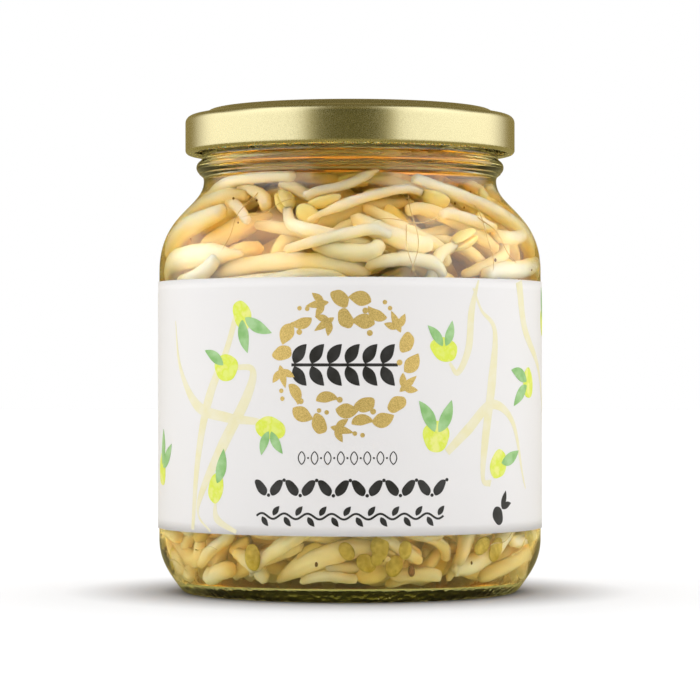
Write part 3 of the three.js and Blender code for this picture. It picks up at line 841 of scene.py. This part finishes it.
def loose_leaves(done, seed, tries, z_range):
    """Seed leaves that have come off, in what gaps are left. Gives their centres and two ways each."""
    run = Run(seed)
    balls = np.concatenate([d["balls"] for d in done])
    wide = np.concatenate([d["bounds"] for d in done])
    found = []
    for n in range(tries):
        az = math.radians(run.between(-180, 180))
        z = run.between(*z_range)
        turn = math.radians(run.between(-60, 60))
        outward, across = facing(az)
        ahead = across * math.cos(turn) + np.array([0, 0, 1]) * math.sin(turn)
        for depth in np.arange(0, 9, 0.6):
            out = float(clear_radius(np.array([z]), LEAF_REACH + FILL_GAP)[0]) - depth
            centre = outward * out + np.array([0, 0, z])
            ends = centre + np.array([-LEAF_BALL, 0, LEAF_BALL])[:, None] * ahead
            gaps = np.linalg.norm(ends[:, None] - balls, axis=-1) - wide - LEAF_BALL
            if (gaps > -LEAF_SQUASH).all() and z - LEAF_REACH > FLOOR_RING:
                balls, wide = np.concatenate([balls, ends]), np.concatenate([wide, [LEAF_BALL] * 3])
                found.append((centre, ahead, outward))
                break
    return found


# Name, seed, tries, heights, thicknesses, lengths, share with heads, and fineness of each band.
FILLS = [
    ("sprouts_between_top", 11, 420, (66, 87), (1.6, 2.5), (24, 46), 0.16, (32, 12, 8, 12)),
    ("sprouts_behind_top", 21, 420, (65, 87), (1.1, 1.9), (12, 24), 0.08, (20, 10, 8, 12)),
    ("sprouts_between_bottom", 12, 220, (5.5, 16), (1.6, 2.4), (22, 40), 0.2, (32, 12, 8, 12)),
    ("sprouts_behind_bottom", 22, 240, (5.0, 17), (1.1, 1.8), (10, 20), 0.08, (20, 10, 8, 12)),
    ("sprouts_on_floor", 23, 260, (4.4, 8.5), (0.9, 1.5), (8, 18), 0.0, (16, 10, 8, 12)),
    ("sprouts_behind_label", 13, 200, (18, 64), (1.8, 2.5), (30, 46), 0.0, (16, 8, 6, 8)),
]


# ---- sprouts ----
def through(points, count):
    """A smooth path through stations: between two, a cubic that leaves and arrives along their
    neighbours."""
    ends = np.concatenate([[2 * points[0] - points[1]], points, [2 * points[-1] - points[-2]]])
    at = np.linspace(0, len(points) - 1, count)
    k = np.minimum(at.astype(int), len(points) - 2)
    t = (at - k)[:, None]
    a, b, c, d = ends[k], ends[k + 1], ends[k + 2], ends[k + 3]
    return 0.5 * (2 * b + (c - a) * t + (2 * a - 5 * b + 4 * c - d) * t**2 + (3 * b - a - 3 * c + d) * t**3)


def stem_shape(spot, count, sides, wobble):
    """A stem: a round section carried along its path, a little out of round, with closed ends. The notes
    hold the distance along it with the way round it, and how much of a root each point is."""
    path = through(spot["points"], count)
    share = np.linspace(0, 1, count)
    radius = np.interp(share, SHARE, spot["radius"])
    along = np.gradient(path, axis=0)
    along /= np.linalg.norm(along, axis=1)[:, None]
    outward = path * (1, 1, 0)
    outward = outward - np.sum(outward * along, axis=1)[:, None] * along
    outward /= np.linalg.norm(outward, axis=1)[:, None] + 1e-9
    across = np.cross(along, outward)
    a, far_up = full_turn(sides), share[:, None]
    lumps = 1 + wobble * np.sin(2 * a + 5 * far_up) + wobble * np.sin(23 * far_up + spot["roll"])
    r = radius[:, None] * lumps
    rings = (path[:, None] + (r * np.cos(a))[..., None] * outward[:, None]
             + (r * np.sin(a))[..., None] * across[:, None])
    start = path[0] - along[0] * radius[0]
    end = path[-1] + along[-1] * radius[-1] * 0.6
    far = share * spot["length"]
    grain = np.stack([far[:, None] + 0 * a, np.cos(a) + 0 * r, np.sin(a) + 0 * r], axis=-1).reshape(-1, 3)
    grain = np.concatenate([grain, [[0, 0, 0]], [[far[-1], 0, 0]]])
    rooty = np.repeat(1 - smooth(share, 0.0, 0.3), sides)
    rooty = np.concatenate([rooty, [1, 0]])
    return skin(rings, start, end), grain, rooty


def seed_leaf(centre, ahead, stack, side, rows, cols, long=HEAD_LONG, wide=HEAD_WIDE, thick=HEAD_THICK):
    """A seed leaf: a ball drawn out along the way ahead, bowed like a bean, nearly flat on its inner side
    and with a shallow furrow down its outer side."""
    ahead, stack = np.array(ahead), np.array(stack)
    across = np.cross(stack, ahead)
    up = np.linspace(0, math.pi, rows + 2)[1:-1][:, None]
    a = full_turn(cols)[None, :]
    x = np.sin(up) * np.cos(a)
    y = np.sin(up) * np.sin(a)
    y = np.where(y < 0, 0.45 * y, y - 0.16 * np.exp(-((x / 0.2) ** 2)) * np.sin(up))
    t = -np.cos(up) + 0 * a
    bow = 0.18 * wide * t**2
    place = (centre + (wide * x + bow)[..., None] * across + (thick * side * y)[..., None] * stack
             + (long * t)[..., None] * ahead)
    tip = 0.18 * wide
    start = centre - long * ahead + tip * across
    end = centre + long * ahead + tip * across
    if side > 0:
        return skin(place[:, ::-1], start, end)
    return skin(place, start, end)


def head_axes(tip, ahead, roll):
    """The way in which a head's two seed leaves lie side by side, square to the way ahead."""
    outward = tip * (1, 1, 0)
    outward = outward - np.dot(outward, ahead) * ahead
    outward /= np.linalg.norm(outward)
    turn = math.radians(roll)
    return outward * math.cos(turn) + np.cross(ahead, outward) * math.sin(turn)


def sprout_shape(spot, count=44, sides=16, rows=12, cols=18, wobble=0.03):
    """A whole sprout: its stem and two seed leaves. Gives the shape, each face's material and notes."""
    stem, grain, rooty = stem_shape(spot, count, sides, wobble)
    if not spot.get("headed", True):
        return stem, np.zeros(face_count(stem[1])), {"grain": grain, "rooty": rooty}
    tip, ahead = spot["points"][-1], spot["ahead"]
    stack = head_axes(tip, ahead, spot["roll"])
    middle, apart = tip + ahead * (HEAD_LONG - HEAD_SUNK), HEAD_APART - LEAF_INSET
    leaves = [seed_leaf(middle + stack * side * apart, ahead, stack, side, rows, cols) for side in (-1, 1)]
    faces = np.concatenate([np.zeros(face_count(stem[1])), *[np.ones(face_count(f)) for _, f in leaves]])
    notes = {"grain": np.concatenate([grain, *[points - tip for points, _ in leaves]]),
             "rooty": np.concatenate([rooty, *[np.zeros(len(points)) for points, _ in leaves]])}
    return joined([stem, *leaves]), faces, notes


# Azimuth and turn of each half bean on the bottom that has a node of its own.
HALVES = [(-13, -50), (7, 95), (34, -80), (-110, 130)]
HALF_LONG, HALF_WIDE, HALF_THICK = 3.4, 2.6, 1.5


def half_beans():
    """The half beans by their nodes, each where its node's box has its middle: a seed leaf lying flat
    against the glass, with its long side at its turn from upright."""
    shapes = {}
    for number, (az, turn) in enumerate(HALVES, 1):
        node = f"bean_half_{number:02d}"
        centre = np.mean([np.array(corner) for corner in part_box(node)], axis=0) / MM
        outward, right = facing(math.radians(az))
        t = math.radians(turn)
        ahead = np.array([0, 0, math.cos(t)]) - right * math.sin(t)
        shapes[node] = seed_leaf(centre, ahead, outward, 1, 22, 32, HALF_LONG - 0.1, HALF_WIDE, HALF_THICK)
    return shapes


# ---- what floats between ----
def threads_shape():
    """Fine roots against the glass: thin round threads, each along a wavy line."""
    run, threads = Run(404), []
    starts = [(22.5, 80.2, 262, 15)]
    starts += [run.several((-180, 180), (70, 82), (180, 360), (7, 14)) for _ in range(9)]
    starts += [run.several((-180, 180), (7, 13), (-30, 30), (6, 12)) for _ in range(6)]
    share = np.linspace(0, 1, 30)
    for az, z, way, length in starts:
        wave = 0.5 * np.sin(share * run.between(5, 9) + run.between(0, 6))
        along, side = share * length, wave
        t = math.radians(way)
        height = z + along * math.sin(t) + side * math.cos(t)
        angle = math.radians(az) + (along * math.cos(t) - side * math.sin(t)) / wall_radius(height)
        thick = 0.12 * (1.15 - 0.75 * share)
        out = clear_radius(height, thick + 0.1)
        path = np.stack([out * np.sin(angle), -out * np.cos(angle), height], axis=-1)
        forward = np.gradient(path, axis=0)
        forward /= np.linalg.norm(forward, axis=1)[:, None]
        outward = np.stack([np.sin(angle), -np.cos(angle), 0 * angle], axis=-1)
        across = np.cross(forward, outward)
        a = full_turn(6)
        rings = (path[:, None] + (thick[:, None] * np.cos(a))[..., None] * np.cross(across, forward)[:, None]
                 + (thick[:, None] * np.sin(a))[..., None] * across[:, None])
        threads.append(skin(rings, path[0] - 0.1 * forward[0], path[-1] + 0.1 * forward[-1]))
    return joined(threads)


def coats_shape():
    """Split seed coats: thin curled caps, each the part of an egg's skin on one side, with a real
    thickness, lying against the glass."""
    run, coats = Run(86), []
    spots = [(-1, 10.4), (5, 8.2), (9, 11.6), (14, 7.6), (17, 10.6)]
    spots += [run.several((-180, 180), (6.5, 12.5)) for _ in range(14)]
    up, skin_thick = np.linspace(0.0, 1.15, 9)[1:, None], 0.14
    a = full_turn(20)[None, :]
    for az, z in spots:
        long, wide, deep, turn = run.several((2.0, 3.0), (1.4, 2.0), (0.7, 1.3), (0, 6))
        out = float(clear_radius(np.array([z]), deep + 0.15)[0])
        outward, right = facing(math.radians(az))
        rise = np.array([0, 0, 1.0])
        first = right * math.cos(turn) + rise * math.sin(turn)
        second = np.cross(outward, first)

        def cap(inset):
            """One side of the coat's skin, from near its pole out to its rim."""
            return (outward * out + rise * z + ((long - inset) * np.sin(up) * np.cos(a))[..., None] * first
                    + ((wide - inset) * np.sin(up) * np.sin(a))[..., None] * second
                    + ((deep - inset) * np.cos(up) + 0 * a)[..., None] * outward)

        rings = np.concatenate([cap(0), cap(skin_thick)[::-1]])
        pole = outward * out + rise * z
        coats.append(skin(rings[:, ::-1], pole + outward * deep, pole + outward * (deep - skin_thick)))
    return joined(coats)


def specks_shape():
    """Specks of bran against the glass: small lumpy balls."""
    run, specks = Run(31), []
    spots = [(20, 6.6, 0.95), (-36.5, 79.2, 0.3), (41, 78.6, 0.3), (44, 77.8, 0.25)]
    spots += [run.several((-180, 180), (66, 82), (0.15, 0.35)) for _ in range(14)]
    spots += [run.several((-180, 180), (5.5, 12), (0.2, 0.5)) for _ in range(14)]
    up, narrow = np.linspace(0, math.pi, 8)[1:-1][:, None], 0.7
    a = full_turn(10)[None, :]
    for az, z, size in spots:
        out = float(clear_radius(np.array([z]), size + 0.12)[0])
        middle = out * facing(math.radians(az))[0] + (0, 0, z)
        r = size * (1 + 0.15 * np.sin(3 * a + az) * np.sin(up))
        level = narrow * r * np.sin(up)
        ball = np.stack([level * np.cos(a), level * np.sin(a), -r * np.cos(up)], axis=-1)
        specks.append(skin(middle + ball, middle - [0, 0, size], middle + [0, 0, size]))
    return joined(specks)


# ---- materials ----
def finish(name):
    """A new material with its tree and its shader."""
    material = bpy.data.materials.new(name)
    material.use_nodes = True
    tree = material.node_tree
    return material, tree, tree.nodes["Principled BSDF"]


def put(shader, **values):
    """Sets sockets of a shader by name, with underscores for spaces."""
    for name, value in values.items():
        shader.inputs[name.replace("_", " ")].default_value = value


def add(tree, kind, **sockets):
    """A new node. Each socket named here gets a value, or a link where the value is another's output."""
    made = tree.nodes.new(kind)
    for name, value in sockets.items():
        socket = made.inputs[int(name[1:])] if name[0] == "i" and name[1:].isdigit() else made.inputs[name]
        if isinstance(value, bpy.types.NodeSocket):
            tree.links.new(value, socket)
        else:
            socket.default_value = value
    return made


def place_on(tree):
    """The point's place on the object, in metres."""
    return tree.nodes.new("ShaderNodeTexCoord").outputs["Object"]


def noise(tree, where, scale, detail=3.0, rough=0.5, stretch=(1, 1, 1)):
    """Cloudy noise at a place, with its size set by scale, and stretched."""
    mapping = add(tree, "ShaderNodeMapping", Vector=where, Scale=stretch)
    made = add(tree, "ShaderNodeTexNoise", Vector=mapping.outputs[0], Scale=scale, Detail=detail,
               Roughness=rough)
    return made.outputs["Fac"]


def shades(tree, amount, *stops):
    """Colours by amount: each stop is a position and a colour."""
    ramp = add(tree, "ShaderNodeValToRGB", Fac=amount)
    ends = ramp.color_ramp.elements
    for i, (at, colour) in enumerate(stops):
        stop = ends[i] if i < 2 else ends.new(at)
        stop.position = at
        stop.color = (*colour, 1)
    return ramp.outputs["Color"]


def maths(tree, operation, a, b=0.0):
    """One sum."""
    made = tree.nodes.new("ShaderNodeMath")
    made.operation = operation
    for socket, value in zip(made.inputs, (a, b)):
        if isinstance(value, bpy.types.NodeSocket):
            tree.links.new(value, socket)
        else:
            socket.default_value = value
    return made.outputs[0]


def blended(tree, amount, first, second):
    """Colour that goes from first to second with amount."""
    made = tree.nodes.new("ShaderNodeMix")
    made.data_type = "RGBA"
    for socket, value in zip((made.inputs[0], made.inputs[6], made.inputs[7]), (amount, first, second)):
        if isinstance(value, bpy.types.NodeSocket):
            tree.links.new(value, socket)
        else:
            socket.default_value = (*value, 1) if isinstance(value, tuple) else value
    return made.outputs[2]


def relief(tree, shader, height, distance, strength=1.0):
    """Fine relief from a height between 0 and 1, with its depth in millimetres."""
    made = add(tree, "ShaderNodeBump", Height=height, Distance=distance * MM, Strength=strength)
    tree.links.new(made.outputs[0], shader.inputs["Normal"])


def coloured(tree, shader, colour):
    """Gives the shader a colour that varies over the piece."""
    tree.links.new(colour, shader.inputs["Base Color"])


def ranged(tree, value, low, high, at_low, at_high):
    """A value taken from one range to another, and held at its ends."""
    return add(tree, "ShaderNodeMapRange", Value=value, i1=low, i2=high, i3=at_low, i4=at_high).outputs[0]


def height_of(tree, where):
    """The height of a place."""
    return add(tree, "ShaderNodeSeparateXYZ", Vector=where).outputs["Z"]


def noted(tree, name):
    """The note of this name that the piece's points carry."""
    made = tree.nodes.new("ShaderNodeAttribute")
    made.attribute_name = name
    return made.outputs


def absorbing(tree, colour, density):
    """Colour that a clear body takes on with depth."""
    volume = add(tree, "ShaderNodeVolumeAbsorption", Color=(*colour, 1), Density=density)
    tree.links.new(volume.outputs[0], tree.nodes["Material Output"].inputs["Volume"])


def clear_glass():
    """Flint glass with a faint green body colour, soft waves in its walls and stipples on its foot."""
    material, tree, shader = finish("jar glass")
    put(shader, Base_Color=(1, 1, 1, 1), Roughness=0.0, IOR=1.5, Transmission_Weight=1.0)
    where = place_on(tree)
    waves = noise(tree, where, 90, 1.0)
    low = ranged(tree, height_of(tree, where), 0.4 * MM, 2.6 * MM, 1.0, 0.0)
    dots = add(tree, "ShaderNodeTexVoronoi", Vector=where, Scale=900)
    stipple = maths(tree, "MULTIPLY", dots.outputs["Distance"], maths(tree, "MULTIPLY", low, 2.0))
    relief(tree, shader, maths(tree, "ADD", maths(tree, "MULTIPLY", waves, 0.25), stipple), 0.15)
    absorbing(tree, (0.72, 0.77, 0.36), 30.0)
    return material


def amber_brine():
    """Amber liquid that darkens with depth."""
    material, tree, shader = finish("amber brine")
    put(shader, Base_Color=(1, 1, 1, 1), Roughness=0.0, IOR=1.08, Transmission_Weight=1.0)
    absorbing(tree, (0.97, 0.80, 0.28), 105.0)
    return material


def gold_lacquer():
    """Tinplate under gold lacquer, with a fine rolled grain and faint handling marks."""
    material, tree, shader = finish("gold lacquer")
    where = place_on(tree)
    cloud = noise(tree, where, 60, 4)
    coloured(tree, shader, shades(tree, cloud, (0.3, (0.69, 0.63, 0.375)), (0.7, (0.66, 0.60, 0.35))))
    fine = noise(tree, where, 2600, 2)
    tree.links.new(ranged(tree, fine, 0.3, 0.7, 0.24, 0.29), shader.inputs["Roughness"])
    put(shader, Metallic=1.0)
    relief(tree, shader, fine, 0.0006)
    return material


def pale_lacquer():
    """The cream lacquer on the lid's inner side."""
    material, tree, shader = finish("pale lacquer")
    cloud = noise(tree, place_on(tree), 120, 3)
    coloured(tree, shader, shades(tree, cloud, (0.3, (0.78, 0.73, 0.58)), (0.7, (0.84, 0.80, 0.66))))
    put(shader, Roughness=0.35, Metallic=0.3)
    return material


def soft_liner():
    """White plastisol, slightly pitted."""
    material, tree, shader = finish("soft liner")
    pits = noise(tree, place_on(tree), 1500, 4)
    coloured(tree, shader, shades(tree, pits, (0.3, (0.80, 0.78, 0.70)), (0.7, (0.88, 0.86, 0.79))))
    put(shader, Roughness=0.6)
    relief(tree, shader, pits, 0.03)
    return material


def label_paper():
    """Coated white paper: faint fibres under a half-gloss coat."""
    material, tree, shader = finish("label paper")
    where = place_on(tree)
    fibre = noise(tree, where, 2600, 5, 0.65)
    cloud = noise(tree, where, 45, 2)
    body = blended(tree, maths(tree, "MULTIPLY", fibre, 0.35), (0.755, 0.74, 0.73), (0.725, 0.71, 0.70))
    coloured(tree, shader, blended(tree, maths(tree, "MULTIPLY", cloud, 0.2), body, (0.735, 0.72, 0.735)))
    put(shader, Roughness=0.42, Specular_IOR_Level=0.45)
    relief(tree, shader, fibre, 0.008)
    return material


def gold_foil():
    """Hot-stamped gold foil over paper: brassy, finely speckled."""
    material, tree, shader = finish("gold foil")
    speckle = noise(tree, place_on(tree), 5200, 3)
    coloured(tree, shader, shades(tree, speckle, (0.35, (0.55, 0.38, 0.10)), (0.6, (0.78, 0.58, 0.20))))
    put(shader, Metallic=0.4, Roughness=0.4)
    relief(tree, shader, speckle, 0.02)
    return material


def print_ink(name, *colours):
    """A printed colour, washed unevenly from one shade to the next."""
    material, tree, shader = finish(name)
    where = place_on(tree)
    wash = noise(tree, where, 420, 4)
    steps = np.linspace(0.36, 0.64, len(colours))
    coloured(tree, shader, shades(tree, wash, *zip(steps.tolist(), colours)))
    put(shader, Roughness=0.45)
    relief(tree, shader, noise(tree, where, 2600, 4), 0.006)
    return material


def near_floor(tree, where):
    """How near the jar's floor a point is: 0 above the label's lower edge, 1 on the floor."""
    return ranged(tree, height_of(tree, where), 20 * MM, 9 * MM, 0.0, 1.0)


def sprout_flesh():
    """White, half-translucent stem flesh with fine fibres along it, a tan root, and painted amber light in
    patches towards the jar's floor.
    """
    material, tree, shader = finish("sprout flesh")
    where = place_on(tree)
    fibres = noise(tree, noted(tree, "grain")["Vector"], 3.0, 3, stretch=(0.25, 2.2, 2.2))
    cloud = noise(tree, where, 110, 3)
    flesh = shades(tree, cloud, (0.3, (0.94, 0.87, 0.70)), (0.52, (0.95, 0.91, 0.81)),
                   (0.7, (0.96, 0.94, 0.88)))
    streaked = blended(tree, maths(tree, "MULTIPLY", fibres, 0.3), flesh, (0.87, 0.82, 0.66))
    rootiness = maths(tree, "MULTIPLY", noted(tree, "rooty")["Fac"], 0.7)
    tan = blended(tree, rootiness, streaked, (0.68, 0.52, 0.28))
    # painted amber light: stems turn orange in patches towards the jar's floor
    painted_amber_patchiness = ranged(tree, noise(tree, where, 70, 1), 0.4, 0.6, 0.2, 0.75)
    painted_amber_near_floor = maths(tree, "MULTIPLY", near_floor(tree, where), painted_amber_patchiness)
    coloured(tree, shader, blended(tree, painted_amber_near_floor, tan, (0.88, 0.56, 0.22)))
    put(shader, Roughness=0.38, Subsurface_Weight=1.0, Subsurface_Scale=0.007)
    shader.inputs["Subsurface Radius"].default_value = (1.0, 0.8, 0.5)
    relief(tree, shader, fibres, 0.06)
    return material


def seed_leaf_flesh():
    """Waxy yellow seed leaves with fine veins."""
    material, tree, shader = finish("seed leaf flesh")
    where = place_on(tree)
    cloud = noise(tree, where, 160, 3)
    veins = noise(tree, where, 900, 2, stretch=(1, 1, 0.4))
    waxy = shades(tree, cloud, (0.3, (0.88, 0.72, 0.34)), (0.5, (0.92, 0.82, 0.48)),
                  (0.72, (0.94, 0.88, 0.64)))
    veined = blended(tree, maths(tree, "MULTIPLY", veins, 0.4), waxy, (0.76, 0.63, 0.33))
    # painted amber light: seed leaves turn orange towards the jar's floor
    painted_amber_near_floor = maths(tree, "MULTIPLY", near_floor(tree, where), 0.6)
    coloured(tree, shader, blended(tree, painted_amber_near_floor, veined, (0.86, 0.55, 0.20)))
    put(shader, Roughness=0.42, Subsurface_Weight=0.8, Subsurface_Scale=0.005)
    shader.inputs["Subsurface Radius"].default_value = (1.0, 0.75, 0.3)
    relief(tree, shader, veins, 0.05)
    return material


def thread_skin():
    """Fine tan root skin."""
    material, tree, shader = finish("root thread")
    cloud = noise(tree, place_on(tree), 700, 2)
    coloured(tree, shader, shades(tree, cloud, (0.35, (0.50, 0.34, 0.13)), (0.65, (0.74, 0.60, 0.32))))
    put(shader, Roughness=0.5)
    return material


def olive_coat():
    """The bean's olive seed coat, wrinkled and half clear."""
    material, tree, shader = finish("olive seed coat")
    where = place_on(tree)
    wrinkles = noise(tree, where, 900, 4, 0.6)
    coloured(tree, shader, shades(tree, wrinkles, (0.35, (0.52, 0.38, 0.05)), (0.65, (0.76, 0.60, 0.13))))
    put(shader, Roughness=0.35, Transmission_Weight=0.35, IOR=1.2)
    relief(tree, shader, wrinkles, 0.08)
    return material


def dark_bran():
    """Red-brown bran."""
    material, tree, shader = finish("dark bran")
    cloud = noise(tree, place_on(tree), 1200, 2)
    coloured(tree, shader, shades(tree, cloud, (0.35, (0.11, 0.035, 0.012)), (0.65, (0.22, 0.08, 0.03))))
    put(shader, Roughness=0.5)
    relief(tree, shader, cloud, 0.05)
    return material


def white_floor():
    """A plain pale floor with a painted contact shadow close to the jar. Where gloss mirrors it, it is a dim
    olive painted reflection, and seen through the jar's base it is painted amber light that glows."""
    material, tree, shader = finish("white floor")
    cloud = noise(tree, place_on(tree), 3, 2)
    pale = shades(tree, cloud, (0.3, (0.65, 0.65, 0.655)), (0.7, (0.67, 0.67, 0.675)))
    # painted contact shadow: the floor's colour darkens towards black close to the jar
    painted_shadow_amount = add(tree, "ShaderNodeAmbientOcclusion", Distance=22 * MM).outputs["AO"]
    light = tree.nodes.new("ShaderNodeLightPath").outputs
    painted_shadow_floor = blended(tree, painted_shadow_amount, (0.03, 0.03, 0.03), pale)
    # painted reflection: gloss sees the floor as a dim olive
    painted_reflection_floor = blended(tree, light["Is Glossy Ray"], painted_shadow_floor, (0.22, 0.19, 0.08))
    # painted light: seen through the jar's base the floor is amber and glows, though it is no lamp
    painted_amber_through_base = blended(tree, light["Is Transmission Ray"], painted_reflection_floor, (0.92, 0.78, 0.36))
    coloured(tree, shader, painted_amber_through_base)
    glow = blended(tree, light["Is Transmission Ray"], (0.0, 0.0, 0.0), (0.20, 0.21, 0.085))
    tree.links.new(glow, shader.inputs["Emission Color"])
    put(shader, Roughness=0.9, Specular_IOR_Level=0.0, Emission_Strength=1.0)
    return material


# ---- studio ----
THROUGH_GLASS = 3.65
SCATTERED = (2.4, 1.75, 0.9)
# Where the high band and the zenith set in, as the sine of the height above the horizon.
HIGH_BAND, ZENITH_BAND = (0.38, 0.52), (0.84, 0.94)


def sky_round(tree, way, low, high, zenith):
    """Brightness of the sky by direction: low and high give stops by the angle from the front, as a share
    of half a turn, for the band near the horizon and the band above it. The zenith has one colour."""
    ahead = maths(tree, "MULTIPLY", way.outputs["Y"], -1.0)
    turn = maths(tree, "ABSOLUTE", maths(tree, "ARCTAN2", way.outputs["X"], ahead))
    share = maths(tree, "DIVIDE", turn, math.pi)
    rise = ranged(tree, way.outputs["Z"], *HIGH_BAND, 0.0, 1.0)
    top = ranged(tree, way.outputs["Z"], *ZENITH_BAND, 0.0, 1.0)
    round_it = blended(tree, rise, shades(tree, share, *low), shades(tree, share, *high))
    return blended(tree, top, round_it, zenith)


def grey(level, warmth=0.0):
    """A nearly neutral brightness, a little warm."""
    return level, level * (1 - 0.4 * warmth), level * (1 - warmth)


def studio_light():
    """Soft light from all round. Gloss sees bright panels on both sides, and is dim in front, behind and
    overhead. Light that reaches the contents through the glass is stronger, and what has gone from sprout
    to sprout is amber, for the many turns that it takes in the liquid."""
    world = bpy.data.worlds.new("studio")
    bpy.context.scene.world = world
    world.use_nodes = True
    tree = world.node_tree
    tree.nodes.clear()
    way = add(tree, "ShaderNodeSeparateXYZ", Vector=tree.nodes.new("ShaderNodeTexCoord").outputs["Generated"])
    soft = sky_round(tree, way, [(0.1, grey(0.5)), (0.2, grey(1.2)), (0.6, grey(1.3)), (1.0, grey(1.2, 0.1))],
                     [(0.1, grey(1.0)), (0.3, grey(1.9)), (0.6, grey(2.3)), (1.0, grey(2.3, 0.03))],
                     grey(1.5))
    gloss = sky_round(tree, way, [(0.12, (0.075, 0.07, 0.02)), (0.16, (0.5, 0.44, 0.2)), (0.19, grey(1.6)),
                                  (0.44, grey(1.6)), (0.64, grey(1.6, 0.05)), (0.78, (0.28, 0.22, 0.07))],
                      [(0.13, (0.18, 0.15, 0.04)), (0.25, grey(1.7)), (0.45, grey(1.7)),
                       (0.62, (0.2, 0.16, 0.05))], (0.14, 0.115, 0.03))
    light = tree.nodes.new("ShaderNodeLightPath").outputs
    sky = blended(tree, light["Is Glossy Ray"], soft, gloss)
    once = maths(tree, "MINIMUM", light["Diffuse Depth"], 1.0)
    inside = maths(tree, "MULTIPLY", light["Is Transmission Ray"], once)
    through_glass = maths(tree, "ADD", maths(tree, "MULTIPLY", inside, THROUGH_GLASS - 1), 1.0)
    again = maths(tree, "MULTIPLY", inside, maths(tree, "GREATER_THAN", light["Diffuse Depth"], 1.5))
    warm = blended(tree, again, (1.0, 1.0, 1.0), SCATTERED)
    tinted = add(tree, "ShaderNodeVectorMath", i0=sky, i1=warm)
    tinted.operation = "MULTIPLY"
    seen = blended(tree, light["Is Camera Ray"], tinted.outputs[0], (1.0, 1.0, 1.0))
    glow = add(tree, "ShaderNodeBackground", Color=seen, Strength=through_glass)
    out = tree.nodes.new("ShaderNodeOutputWorld")
    tree.links.new(glow.outputs[0], out.inputs["Surface"])


def floor():
    """A wide plain floor under the jar."""
    half = 3000
    x = np.linspace(-half, half, 3)
    corners, faces = sheet_of(np.stack(np.broadcast_arrays(x[None, :], x[:, None], 0.0), axis=-1))
    mesh = mesh_of("floor", corners, faces)
    mesh.materials.append(white_floor())
    made = bpy.data.objects.new("floor", mesh)
    bpy.context.scene.collection.objects.link(made)


def camera():
    """The camera: level with the middle of the jar, a long lens from the front."""
    lens, distance, height, lift = 160.3, 652, 45.9, 0.386
    data = bpy.data.cameras.new("camera")
    data.sensor_width = 36
    data.lens = lens
    data.clip_start, data.clip_end = 0.02, 20
    made = bpy.data.objects.new("camera", data)
    made.location = (0, -distance * MM, height * MM)
    made.rotation_euler = (math.radians(90 + lift), 0, 0)
    bpy.context.scene.collection.objects.link(made)
    bpy.context.scene.camera = made


bpy.context.scene.view_settings.view_transform = "Standard"
camera()
studio_light()
floor()

piece("jar", jar_shape(), "jar", [clear_glass()], replaces=["glass_jar"])
piece("brine_fill", brine_shape(), "jar", [amber_brine()], replaces=["brine"])
lid, lid_faces = lid_shape()
piece("twist_lid", lid, "cap", [gold_lacquer(), pale_lacquer()], ["lid_cap"], lid_faces)
piece("sealing_ring", liner_shape(), "liner", [soft_liner()], ["lid_liner"])
thickened(piece("paper_label", paper_shape(), "jar", [label_paper()], ["label"]), PAPER)
printed("label_emblem", emblem(), INK, gold_foil())
printed("label_ornament", ornament(), INK,
        print_ink("black ink", (0.012, 0.012, 0.013), (0.028, 0.028, 0.03)))
ovals, oval_leaves = painted_beans()
printed("label_ribbons", [ribbon(*one) for one in RIBBONS], RIBBON,
        print_ink("cream ink", (0.76, 0.71, 0.44), (0.77, 0.73, 0.53)))
printed("label_beans", ovals, BEAN,
        print_ink("bean ink", (0.70, 0.78, 0.16), (0.66, 0.75, 0.05), (0.76, 0.78, 0.22)))
printed("label_leaves", oval_leaves, LEAF, print_ink("leaf ink", (0.22, 0.46, 0.14), (0.36, 0.58, 0.27)))

flesh, leaf_flesh = sprout_flesh(), seed_leaf_flesh()
sprouts = lay_all()
for number, spot in enumerate(sprouts, 1):
    shape, faces, notes = sprout_shape(spot)
    piece(f"bean_sprout_{number:02d}", shape, "jar", [flesh, leaf_flesh],
          [f"sprout_{number:02d}"], faces, notes)
laid_so_far = list(sprouts)
for name, seed, tries, z_range, thick_range, length_range, head_share, fine in FILLS:
    more = crowd(laid_so_far, seed, tries, z_range, thick_range, length_range, head_share)
    laid_so_far += more
    made = [sprout_shape(spot, *fine) for spot in more]
    shape = joined([shape for shape, _, _ in made])
    faces = np.concatenate([faces for _, faces, _ in made])
    notes = {key: np.concatenate([notes[key] for _, _, notes in made]) for key in ("grain", "rooty")}
    piece(name, shape, "jar", [flesh, leaf_flesh], (), faces, notes)
leaves = loose_leaves(laid_so_far, 515, 30, (66, 82)) + loose_leaves(laid_so_far, 99, 34, (5.5, 13))
lengths_and_widths = [(2.6 + 0.9 * (n % 4) / 3, 1.3 + 0.6 * (n % 3) / 2) for n in range(len(leaves))]
shape = joined([seed_leaf(centre, ahead, outward, 1, 12, 18, long, wide)
                for (centre, ahead, outward), (long, wide) in zip(leaves, lengths_and_widths)])
piece("loose_seed_leaves", shape, "jar", [leaf_flesh])
for node, shape in half_beans().items():
    piece(node.replace("bean_half", "half_bean"), shape, "jar", [leaf_flesh], [node])
piece("root_threads", threads_shape(), "jar", [thread_skin()])
piece("seed_coats", coats_shape(), "jar", [olive_coat()])
piece("dark_specks", specks_shape(), "jar", [dark_bran()])
